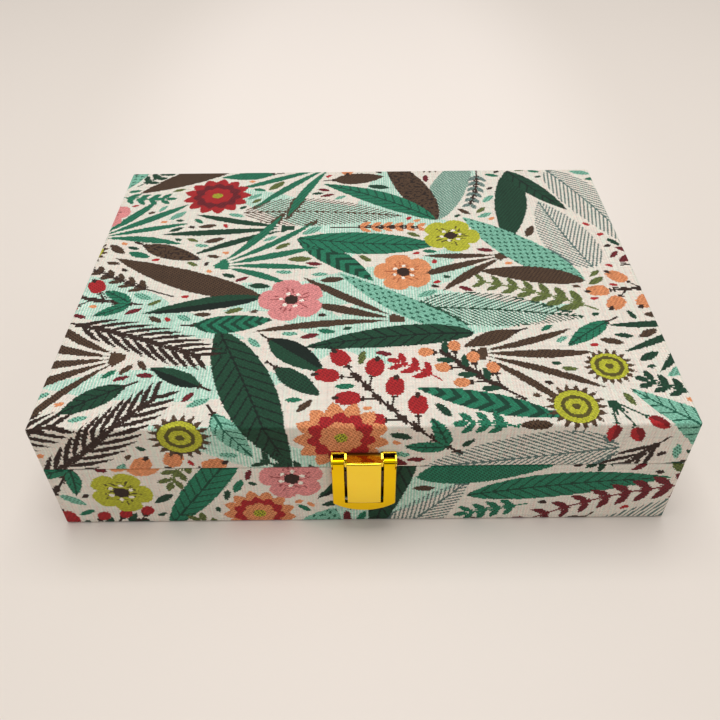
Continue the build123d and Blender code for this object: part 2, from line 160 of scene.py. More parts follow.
def start_group(
    name: str, inputs: dict[str, float | Colour], outputs: dict[str, str]
) -> tuple[Graph, dict[str, Socket], dict[str, Socket]]:
    """Makes an empty node group.

    Args:
        name: The group's name.
        inputs: Each input's name and its default, a number or a colour.
        outputs: Each output's name and its kind: Float, Color or Vector.

    Returns:
        The group's graph, its inputs' sockets and its outputs' sockets, both by name.
    """
    tree = bpy.data.node_groups.new(name, "ShaderNodeTree")
    for label, default in inputs.items():
        kind = "Color" if isinstance(default, tuple) else "Float"
        made = tree.interface.new_socket(label, in_out="INPUT", socket_type=f"NodeSocket{kind}")
        made.default_value = (*default, 1.0) if isinstance(default, tuple) else default
    for label, kind in outputs.items():
        tree.interface.new_socket(label, in_out="OUTPUT", socket_type=f"NodeSocket{kind}")
    entry = tree.nodes.new("NodeGroupInput")
    leave = tree.nodes.new("NodeGroupOutput")
    entries = {label: entry.outputs[label] for label in inputs}
    return Graph(tree), entries, {label: leave.inputs[label] for label in outputs}


class Yarn(IntEnum):
    """The coloured yarns of the cloth, in the order of the palette's stops."""

    CREAM = 0
    MINT = 1
    EMERALD = 2
    FOREST = 3
    HEATHER = 4
    BARK = 5
    STEM = 6
    RED = 7
    PINK = 8
    PEACH = 9
    OLIVE = 10
    SLATE = 11
    SEA = 12
    MAROON = 13
    MOSS = 14


class Fill(IntEnum):
    """How a figure is filled. FROND and STALK leave what is under them to show between their strokes."""

    GROUND = 0
    RIBBED = 1
    TWILL = 2
    PEPPER = 3
    MOTTLED = 4
    VEINED = 5
    HALVED = 6
    DASHED = 7
    BARRED = 8
    RINGED = 9
    PLAIN = 10
    STREAKED = 11
    FROND = 12
    STALK = 13


YARN_COLOURS = {
    Yarn.CREAM: ((253, 247, 233), (222, 192, 178)),
    Yarn.MINT: ((174, 224, 202), (236, 242, 228)),
    Yarn.EMERALD: ((34, 128, 94), (14, 66, 48)),
    Yarn.FOREST: ((26, 74, 50), (13, 32, 23)),
    Yarn.HEATHER: ((70, 130, 112), (196, 214, 198)),
    Yarn.BARK: ((88, 64, 44), (40, 25, 18)),
    Yarn.STEM: ((58, 37, 27), (32, 20, 15)),
    Yarn.RED: ((186, 34, 38), (132, 18, 24)),
    Yarn.PINK: ((236, 150, 148), (168, 84, 84)),
    Yarn.PEACH: ((238, 156, 104), (192, 108, 66)),
    Yarn.OLIVE: ((196, 196, 50), (92, 84, 30)),
    Yarn.SLATE: ((84, 110, 104), (150, 170, 160)),
    Yarn.SEA: ((136, 200, 174), (22, 92, 70)),
    Yarn.MAROON: ((124, 28, 38), (68, 14, 22)),
    Yarn.MOSS: ((108, 122, 58), (54, 64, 38)),
}


class Outline(Enum):
    """The outline of a figure."""

    LEAF = "leaf"
    PETAL = "petal"
    DISC = "disc"
    STRIP = "strip"


@dataclass(frozen=True)
class Figure:
    """One woven figure, in millimetres of flat cloth and radians.

    Its own u runs from its foot at (x, y) along its length and v runs across. A disc's foot is its middle.
    """

    outline: Outline
    x: float
    y: float
    turn: float
    length: float
    width: float
    yarn: Yarn
    fill: Fill
    pitch: float = 3.0
    bend: float = 0.0
    belly: float = 1.0
    rank: int = 2

    def measure(self, x: Array, y: Array) -> tuple[Array, Array, Array]:
        """Measures places against the figure.

        Args:
            x: Places along the cloth.
            y: Places up the cloth.

        Returns:
            How deep each place lies inside the outline, negative outside, and its own u and v.
        """
        across, up = x - self.x, y - self.y
        cosine, sine = math.cos(self.turn), math.sin(self.turn)
        u = cosine * across + sine * up
        v = cosine * up - sine * across - self.bend * u * u
        if self.outline is Outline.DISC:
            round_share = np.hypot(2 * u / self.length, 2 * v / self.width)
            return (1 - round_share) * min(self.length, self.width) / 2, u, v
        if self.outline is Outline.STRIP:
            return np.minimum(self.width / 2 - np.abs(v), np.minimum(u, self.length - u)), u, v
        share = np.clip(u / self.length, 0, 1)
        eased = np.where((u > 0) & (u < self.length), self.length * share**self.belly, u)
        middle = eased - self.length / 2
        if self.outline is Outline.PETAL:
            power = 2.3
            along, wide = np.abs(2 * middle / self.length), np.abs(2 * v / self.width)
            return (1 - (along**power + wide**power) ** (1 / power)) * self.width / 2, u, v
        radius = (self.length**2 + self.width**2) / (4 * self.width)
        return radius - np.hypot(middle, np.abs(v) + radius - self.width / 2), u, v

    def reach(self) -> float:
        """How far from its foot the figure can go."""
        return math.hypot(self.length, self.width / 2 + abs(self.bend) * self.length**2)

    def moved(self, x: float, y: float) -> "Figure":
        """The same figure, moved over the cloth."""
        return replace(self, x=self.x + x, y=self.y + y)


def polar(radius: float, angle: float) -> Place:
    """The place at a radius and an angle."""
    return radius * math.cos(angle), radius * math.sin(angle)


def fan(count: int) -> list[float]:
    """How far to the side each of a fan's leaves is, counted from its middle."""
    return [i - (count - 1) / 2 for i in range(count)]


def turns_round(turn: float, count: int, shift: float = 0.0) -> list[float]:
    """The turns of petals that stand round a middle, shifted by a share of their spacing."""
    return [turn + (i + shift) * math.tau / count for i in range(count)]


@dataclass(frozen=True)
class Stem:
    """A thin stem, straight or bent, that leaves and fruit grow on. Millimetres of cloth."""

    turn: float
    length: float
    bend: float = 0.0
    foot: Place = (0.0, 0.0)
    strip_width = 3
    leaf_bend = 0.006
    leaf_belly = 0.85

    def strip(self, yarn: Yarn, half_width: float) -> Figure:
        """The stem's own figure."""
        shape = (self.turn, self.length, self.strip_width, yarn, Fill.STALK, half_width, self.bend)
        return Figure(Outline.STRIP, *self.foot, *shape, rank=1)

    def at(self, u: float) -> Place:
        """The place u along the stem."""
        v = self.bend * u * u
        cosine, sine = math.cos(self.turn), math.sin(self.turn)
        return self.foot[0] + (u * cosine - v * sine), self.foot[1] + (u * sine + v * cosine)

    def branch(self, u: float, lean: float, length: float) -> "Stem":
        """A straight side stem that starts u along this one and leans away from it."""
        heading = self.turn + math.atan(2 * self.bend * u)
        return Stem(heading + lean, length, foot=self.at(u))

    def tipped(
        self, outline: Outline, length: float, width: float, *look: object, beyond: float = 0.0, **more: float
    ) -> Figure:
        """A figure that goes on from the stem's tip.

        Args:
            outline: The figure's outline.
            length: Its length.
            width: Its width.
            *look: Its yarn and its fill.
            beyond: How far beyond the tip it starts.
            **more: Its belly, bend and rank.

        Returns:
            The figure.
        """
        place = self.at(self.length + beyond)
        return Figure(outline, *place, self.turn, length, width, *look, **more)

    def pair(self, u: float, leaf: Triple, yarn: Yarn, off: float) -> list[Figure]:
        """Two leaves that face each other across the stem.

        Args:
            u: How far along the stem they grow.
            leaf: How far each leans from the stem, its length and its width.
            yarn: Their yarn.
            off: The gap between the stem and each leaf.

        Returns:
            The two leaves.
        """
        lean, length, width = leaf
        figures = []
        for side in (-1, 1):
            stalk = self.branch(u, side * lean, off)
            more = {"bend": -side * self.leaf_bend, "belly": self.leaf_belly}
            figures.append(stalk.tipped(Outline.LEAF, length, width, yarn, Fill.TWILL, **more))
        return figures


class Herbarium:
    """Draws each kind of plant at the origin, growing at a given turn. Millimetres of cloth."""

    LEAF_DRESSES = [
        (Yarn.EMERALD, Fill.TWILL, 3.0),
        (Yarn.EMERALD, Fill.VEINED, 5.2),
        (Yarn.FOREST, Fill.TWILL, 3.0),
        (Yarn.FOREST, Fill.HALVED, 3.0),
        (Yarn.SEA, Fill.VEINED, 5.6),
        (Yarn.SEA, Fill.DASHED, 4.4),
        (Yarn.HEATHER, Fill.PEPPER, 3.0),
        (Yarn.BARK, Fill.MOTTLED, 3.0),
        (Yarn.EMERALD, Fill.BARRED, 6.4),
        (Yarn.BARK, Fill.TWILL, 3.0),
        (Yarn.FOREST, Fill.VEINED, 6.0),
    ]

    def __init__(self, random: np.random.RandomState) -> None:
        """Takes the random numbers that the plants vary with."""
        self.random = random

    def vary(self, low: float, high: float) -> float:
        """A random number between two values."""
        return float(self.random.uniform(low, high))

    def pick(self, choices: Sequence) -> object:
        """One of the choices at random."""
        return choices[self.random.randint(len(choices))]

    def stem(self, turn: float, shortest: float, longest: float, most_bend: float) -> Stem:
        """A main stem whose length and bend are drawn at random."""
        length = self.vary(shortest, longest)
        return Stem(turn, length, self.vary(-most_bend, most_bend))

    def backdrop_leaf(self, turn: float) -> list[Figure]:
        """A very large pale leaf that the other plants grow over."""
        length = self.vary(85, 130)
        bend = self.vary(-0.0022, 0.0022)
        shape = (turn, length, length * self.vary(0.15, 0.22), Yarn.MINT, Fill.RIBBED)
        return [Figure(Outline.LEAF, 0, 0, *shape, bend=bend, belly=0.85, rank=0)]

    def broad_leaves(self, turn: float) -> list[Figure]:
        """One to three large leaves that fan out from one foot."""
        spread, count = self.vary(0.36, 0.52), self.pick([1, 2, 3])
        figures = []
        for side in fan(count):
            length = self.vary(52, 92) * (1 - 0.16 * abs(side))
            yarn, fill, pitch = self.pick(self.LEAF_DRESSES)
            bend = 0.0028 * side + self.vary(-0.001, 0.001)
            width = length * self.vary(0.17, 0.27)
            shape = (turn + spread * side, length, width, yarn, fill, pitch, bend, self.vary(0.72, 0.95))
            figures.append(Figure(Outline.LEAF, 0, 0, *shape))
        return figures

    def single_leaf(self, turn: float) -> list[Figure]:
        """One leaf of middle size on a short stalk."""
        length = self.vary(24, 38)
        yarn, fill, pitch = self.pick(self.LEAF_DRESSES)
        shape = (turn, length, length * self.vary(0.3, 0.42), yarn, fill, pitch * 0.8)
        leaf = Figure(Outline.LEAF, *polar(6, turn), *shape, self.vary(-0.004, 0.004), 0.8)
        return [Stem(turn, 9).strip(Yarn.STEM, 0.5), leaf]

    def frond(self, turn: float) -> list[Figure]:
        """A long frond of fine strokes on both sides of its rib."""
        length = self.vary(58, 92)
        yarn = self.pick([Yarn.SLATE, Yarn.SLATE, Yarn.BARK, Yarn.FOREST, Yarn.STEM])
        shape = (turn, length, self.vary(20, 28), yarn, Fill.FROND, self.vary(2.6, 3.6))
        return [Figure(Outline.LEAF, 0, 0, *shape, self.vary(-0.003, 0.003), 0.7, rank=1)]

    def bold_frond(self, turn: float) -> list[Figure]:
        """A frond of separate long blades, longest near its middle, that lean towards its tip."""
        stem = self.stem(turn, 60, 92, 0.003)
        yarn = self.pick([Yarn.STEM, Yarn.FOREST, Yarn.STEM, Yarn.BARK])
        pairs = int(stem.length / 6.4)
        figures = [stem.strip(yarn, 0.5)]
        for i in range(1, pairs + 1):
            share = i / (pairs + 0.4)
            longest = 23 * math.sin(math.pi * (0.2 + 0.66 * share))
            figures += stem.pair(stem.length * share, (0.6, longest, 2.3), yarn, 0.0)
        return figures

    def reeds(self, turn: float) -> list[Figure]:
        """A fan of long thin blades from one foot."""
        count = self.pick([3, 4, 5])
        yarn = self.pick([Yarn.FOREST, Yarn.BARK, Yarn.EMERALD, Yarn.BARK, Yarn.MOSS])
        figures = []
        for side in fan(count):
            length = self.vary(40, 68) * (1 - 0.1 * abs(side))
            lean = turn + 0.27 * side
            shape = (lean, length, self.vary(3.8, 5.4), yarn, Fill.TWILL)
            bend = 0.0022 * side + self.vary(-0.0008, 0.0008)
            figures.append(Figure(Outline.LEAF, *polar(5, lean), *shape, bend=bend, belly=1.15))
            figures.append(Stem(lean, 7).strip(yarn, 0.4))
        return figures

    def hip_spray(self, turn: float) -> list[Figure]:
        """A forked stem with a cluster of plump hips, each with a dark tip, and two leaves at its foot."""
        stem = self.stem(turn, 50, 66, 0.005)
        fruit = self.pick([Yarn.RED, Yarn.RED, Yarn.RED, Yarn.PEACH])
        hips = self.pick([5, 6, 7])
        figures = [stem.strip(Yarn.STEM, 0.55)]
        for i in range(hips):
            u = stem.length * (0.36 + 0.64 * i / (hips - 1))
            side = 0 if i == hips - 1 else (1 if i % 2 else -1)
            twig = stem.branch(u, side * 0.85, 7.5 if side else 1.5)
            figures.append(twig.strip(Yarn.STEM, 0.42))
            figures.append(twig.tipped(Outline.PETAL, 10.4, 7.6, fruit, Fill.TWILL, belly=0.85, rank=3))
            figures.append(twig.tipped(Outline.DISC, 3.4, 2.2, Yarn.STEM, Fill.PLAIN, beyond=10.0, rank=4))
        foot = stem.at(stem.length * 0.12)
        for side in (-1, 1):
            shape = (turn + side * 0.7, 17, 6.4, Yarn.EMERALD, Fill.VEINED, 3.6)
            figures.append(Figure(Outline.LEAF, *foot, *shape, bend=-side * 0.008, belly=0.8))
        return figures

    def sprig(self, turn: float) -> list[Figure]:
        """A bent stem with pairs of small leaves that shrink towards its tip."""
        stem = self.stem(turn, 52, 80, 0.005)
        yarn = self.pick([Yarn.FOREST, Yarn.EMERALD, Yarn.FOREST, Yarn.MOSS, Yarn.BARK, Yarn.MAROON])
        pairs = int(stem.length / self.vary(6.6, 8.2))
        figures = [stem.strip(yarn, 0.5)]
        for i in range(1, pairs + 1):
            size = 11.0 * (1 - 0.4 * i / pairs)
            figures += stem.pair(stem.length * i / (pairs + 0.4), (0.85, size, size * 0.4), yarn, 0.9)
        return figures

    def blossom(self, turn: float) -> list[Figure]:
        """An open blossom of five round petals with streaks and a dotted eye."""
        petal, yarn = self.vary(10.5, 14.5), self.pick([Yarn.PINK, Yarn.PINK, Yarn.PEACH, Yarn.OLIVE])
        figures = []
        for angle in turns_round(turn, 5):
            shape = (angle, petal, petal * 0.98, yarn, Fill.STREAKED, petal * 0.62)
            figures.append(Figure(Outline.PETAL, *polar(1.2, angle), *shape, belly=1.35, rank=4))
        figures.append(Figure(Outline.DISC, 0, 0, turn, 6.4, 6.4, Yarn.STEM, Fill.PLAIN, rank=5))
        for angle in turns_round(turn, 6, 0.5):
            dot = (*polar(4.6, angle), 0, 2.0, 2.0, Yarn.CREAM, Fill.PLAIN)
            figures.append(Figure(Outline.DISC, *dot, rank=5))
        return figures

    def dahlia(self, turn: float) -> list[Figure]:
        """A round bloom of three rings of pointed petals."""
        outer, inner = self.pick([(Yarn.RED, Yarn.MAROON), (Yarn.RED, Yarn.PINK), (Yarn.PEACH, Yarn.RED)])
        size = self.vary(15, 19)
        figures = []
        for ring, (count, share, yarn) in enumerate(((13, 1.0, outer), (11, 0.72, inner), (8, 0.46, outer))):
            for angle in turns_round(turn, count, ring / 2):
                shape = (angle, size * share, size * 0.4 * (0.7 + 0.3 * share), yarn, Fill.TWILL)
                figures.append(Figure(Outline.LEAF, 0, 0, *shape, belly=1.5, rank=4))
        figures.append(Figure(Outline.DISC, 0, 0, 0, 5.2, 5.2, Yarn.OLIVE, Fill.PEPPER, rank=5))
        return figures

    def seed_head(self, turn: float) -> list[Figure]:
        """A round seed head in rings, with a frill of short rays round it."""
        yarn = self.pick([Yarn.OLIVE, Yarn.PEACH, Yarn.OLIVE])
        size = self.vary(15, 20)
        figures = []
        for angle in turns_round(turn, 18):
            shape = (angle, size * 0.72, 2.8, Yarn.BARK, Fill.PLAIN)
            figures.append(Figure(Outline.LEAF, 0, 0, *shape, rank=3))
        figures.append(Figure(Outline.DISC, 0, 0, turn, size, size, yarn, Fill.RINGED, 4.2, rank=4))
        return figures

    def berries(self, turn: float) -> list[Figure]:
        """A branched stem with round berries and small leaves."""
        stem = self.stem(turn, 40, 58, 0.006)
        fruit = self.pick([Yarn.RED, Yarn.RED, Yarn.PEACH, Yarn.MAROON])
        figures = [stem.strip(Yarn.STEM, 0.55)]
        for i in range(2, 8):
            side = 1 if i % 2 else -1
            twig = stem.branch(stem.length * i / 7.6, side * 0.75, 11 - 0.7 * i)
            figures.append(twig.strip(Yarn.STEM, 0.42))
            figures.append(twig.tipped(Outline.DISC, 6.6, 5.4, fruit, Fill.TWILL, beyond=2.2, rank=3))
            shape = (twig.turn - side * 1.5, 8.5, 3.3, Yarn.FOREST, Fill.PLAIN)
            figures.append(Figure(Outline.LEAF, *twig.foot, *shape))
        return figures

    def grain_ear(self, turn: float) -> list[Figure]:
        """A stem with an ear of plump seeds."""
        stem = self.stem(turn, 38, 54, 0.005)
        yarn = self.pick([Yarn.BARK, Yarn.MOSS, Yarn.PEACH, Yarn.SLATE])
        figures = [stem.strip(Yarn.STEM, 0.45)]
        for i in range(6):
            figures += stem.pair(stem.length * (0.32 + 0.13 * i), (0.7, 7.4 - 0.5 * i, 2.9), yarn, 0.7)
        return figures

    def buds(self, turn: float) -> list[Figure]:
        """Three closed buds on thin stalks."""
        yarn = self.pick([Yarn.RED, Yarn.PINK, Yarn.PEACH])
        figures = []
        for side in (-1, 0, 1):
            stalk = Stem(turn + side * 0.5, self.vary(12, 19))
            figures.append(stalk.strip(Yarn.FOREST, 0.42))
            figures.append(stalk.tipped(Outline.LEAF, 9.5, 5.4, yarn, Fill.HALVED, belly=0.8, rank=3))
        return figures

    def twig(self, turn: float) -> list[Figure]:
        """A short stem with three or four pairs of small leaves and one at its tip."""
        pairs = self.pick([3, 4])
        stem = Stem(turn, 6.2 * pairs, self.vary(-0.01, 0.01))
        yarn = self.pick([Yarn.FOREST, Yarn.EMERALD, Yarn.FOREST, Yarn.BARK, Yarn.MOSS, Yarn.RED])
        figures = [stem.strip(yarn, 0.4)]
        for i in range(1, pairs + 1):
            figures += stem.pair(stem.length * i / (pairs + 0.3), (0.85, 6.8, 3.0), yarn, 0.8)
        end = stem.branch(stem.length, 0.0, 0.0)
        return [*figures, end.tipped(Outline.LEAF, 6.8, 3.0, yarn, Fill.TWILL)]

    def leaflet(self, turn: float) -> list[Figure]:
        """One small leaf for a small gap."""
        length = self.vary(7, 13)
        yarn = self.pick([Yarn.FOREST, Yarn.EMERALD, Yarn.BARK, Yarn.MOSS, Yarn.SEA, Yarn.MAROON])
        return [Figure(Outline.LEAF, 0, 0, turn, length, length * 0.36, yarn, Fill.TWILL)]

    def speck(self, turn: float) -> list[Figure]:
        """One small seed for the smallest gaps."""
        yarn = self.pick([Yarn.BARK, Yarn.FOREST, Yarn.RED, Yarn.PEACH, Yarn.STEM])
        return [Figure(Outline.DISC, 0, 0, turn, 3.8, 2.3, yarn, Fill.PLAIN)]


@dataclass(frozen=True)
class Sowing:
    """One round of planting: the plants, the tries a square decimetre and the most they may overlap."""

    plants: tuple[str, ...]
    tries_per_dm2: float
    overlap_share: float
    places: int = 60


SOWINGS = (
    Sowing(("backdrop_leaf",), 2.0, 0.3),
    Sowing(
        ("broad_leaves", "reeds", "bold_frond", "hip_spray", "broad_leaves", "reeds", "frond"), 12.0, 0.15, 90
    ),
    Sowing(("dahlia", "blossom", "seed_head"), 2.0, 0.14, 90),
    Sowing(("reeds", "sprig", "hip_spray", "sprig", "frond", "reeds", "berries"), 30.0, 0.11, 90),
    Sowing(("blossom", "single_leaf", "grain_ear"), 3.0, 0.1),
    Sowing(("sprig", "reeds", "berries", "single_leaf", "sprig"), 36.0, 0.1),
    Sowing(("single_leaf", "twig", "grain_ear", "buds"), 44.0, 0.08),
    Sowing(("twig",), 110.0, 0.07, 30),
    Sowing(("leaflet",), 110.0, 0.05, 20),
    Sowing(("speck",), 40.0, 0.0, 14),
)


class WeaveDesign:
    """Lays plants over a piece of flat cloth, largest first, and says which figure each place belongs to."""

    gap = 0.7
    step = 1.0
    margin = 24.0
    wander = 0.7
    slope_step = 0.05

    def __init__(self, width: float, height: float, seed: int) -> None:
        """Plants a cloth of that width and height, in millimetres, with its middle at the origin."""
        self.random = np.random.RandomState(seed)
        self.herbarium = Herbarium(self.random)
        self.width, self.height = width, height
        self.figures: list[Figure] = []
        rows = int((height + 2 * self.margin) / self.step)
        columns = int((width + 2 * self.margin) / self.step)
        self.taken = np.zeros((rows, columns), bool)
        for sowing in SOWINGS:
            self.sow(sowing)
        self.figures.sort(key=lambda figure: figure.rank)

    def flow(self, x: float, y: float) -> float:
        """The way that plants grow round a place."""
        wave = math.sin(x / 61 + 0.7) + math.sin(y / 47 + x / 90) + math.cos(x / 38 - y / 55)
        return 0.12 + 0.42 * wave

    def sow(self, sowing: Sowing) -> None:
        """Tries to place the plants of one round, each where it overlaps least."""
        for turns in range(int(sowing.tries_per_dm2 * self.width * self.height / 1e4)):
            free = np.argwhere(~self.taken)
            if not len(free):
                return
            spots = free[self.random.randint(len(free), size=sowing.places)]
            plant = sowing.plants[turns % len(sowing.plants)]
            first = self.place_of(spots[0])
            astray = self.random.uniform(-self.wander, self.wander)
            turn = self.flow(*first) + astray + math.pi * self.random.randint(2)
            figures = getattr(self.herbarium, plant)(turn)
            mask = self.mask_of(figures)
            shares = [self.overlap(mask, spot) for spot in spots]
            best = int(np.argmin(shares))
            if shares[best] > sowing.overlap_share:
                continue
            rows, columns, cut = self.window(mask, spots[best])
            if figures[0].rank:
                self.taken[rows, columns] |= mask[cut]
            x, y = self.place_of(spots[best])
            self.figures += [figure.moved(x, y) for figure in figures]

    def place_of(self, spot: Array) -> Place:
        """The cloth place of a raster spot."""
        x = spot[1] * self.step - self.width / 2 - self.margin
        y = spot[0] * self.step - self.height / 2 - self.margin
        return float(x), float(y)

    def mask_of(self, figures: list[Figure]) -> Array:
        """Rasters figures that stand round the origin.

        Args:
            figures: The figures.

        Returns:
            What they take up, with a gap round them.
        """
        reach = max(math.hypot(figure.x, figure.y) + figure.reach() for figure in figures)
        span = np.arange(-math.ceil(reach), math.ceil(reach) + 1) * self.step
        x, y = np.meshgrid(span, span)
        mask = np.zeros(x.shape, bool)
        for figure in figures:
            mask |= figure.measure(x, y)[0] > -self.gap
        return mask

    def window(self, mask: Array, spot: Array) -> tuple[slice, slice, tuple[slice, slice]]:
        """Finds where a mask lies on the raster.

        Args:
            mask: The mask, with its middle on the spot.
            spot: The spot.

        Returns:
            The raster's rows and columns that it covers, and the part of the mask that is on them.
        """
        half = mask.shape[0] // 2
        low = np.maximum(spot - half, 0)
        high = np.minimum(spot + half + 1, self.taken.shape)
        cut = tuple(slice(a - s + half, b - s + half) for a, b, s in zip(low, high, spot))
        return slice(low[0], high[0]), slice(low[1], high[1]), cut

    def overlap(self, mask: Array, spot: Array) -> float:
        """The share of a mask that would lie on what is taken."""
        rows, columns, cut = self.window(mask, spot)
        part = mask[cut]
        return float((part & self.taken[rows, columns]).sum() / max(part.sum(), 1))

    def paint(self, x: Array, y: Array) -> tuple[Array, Array, Array]:
        """Finds the figures that faces of the cloth show.

        Args:
            x: The place along the cloth of each face's four corners.
            y: The place up the cloth of each face's four corners.

        Returns:
            Per corner, the depth inside the upper figure, its two slopes and its pitch; per corner, u, v and
            v's two slopes; and per face, the yarn and fill of its upper figure and of what lies under it.
        """
        edge = np.zeros((*x.shape, 4))
        edge[..., 0] = self.step
        local = np.zeros((*x.shape, 4))
        worn = np.zeros((len(x), 4))
        middle_x, middle_y = x.mean(1), y.mean(1)
        snap = Threads.warp_pitch + Threads.weft_pitch
        for figure in self.figures:
            away = np.hypot(middle_x - figure.x, middle_y - figure.y)
            near = np.flatnonzero(away < figure.reach() + snap)
            if not len(near):
                continue
            depth, u, v = figure.measure(x[near], y[near])
            touched = depth.max(1) > -snap / 2
            near, depth, u, v = near[touched], depth[touched], u[touched], v[touched]
            if not len(near):
                continue
            bit = self.slope_step
            right = figure.measure(x[near] + bit, y[near])
            above = figure.measure(x[near], y[near] + bit)
            upper = edge[near, :, 0].mean(1) > 0
            worn[near, 2:] = np.where(upper[:, None], worn[near, :2], worn[near, 2:])
            worn[near, :2] = figure.yarn, figure.fill
            slopes = [(right[0] - depth) / bit, (above[0] - depth) / bit]
            edge[near] = np.stack([depth, *slopes, np.full_like(depth, figure.pitch)], -1)
            local[near] = np.stack([u, v, (right[2] - v) / bit, (above[2] - v) / bit], -1)
        return edge, local, worn


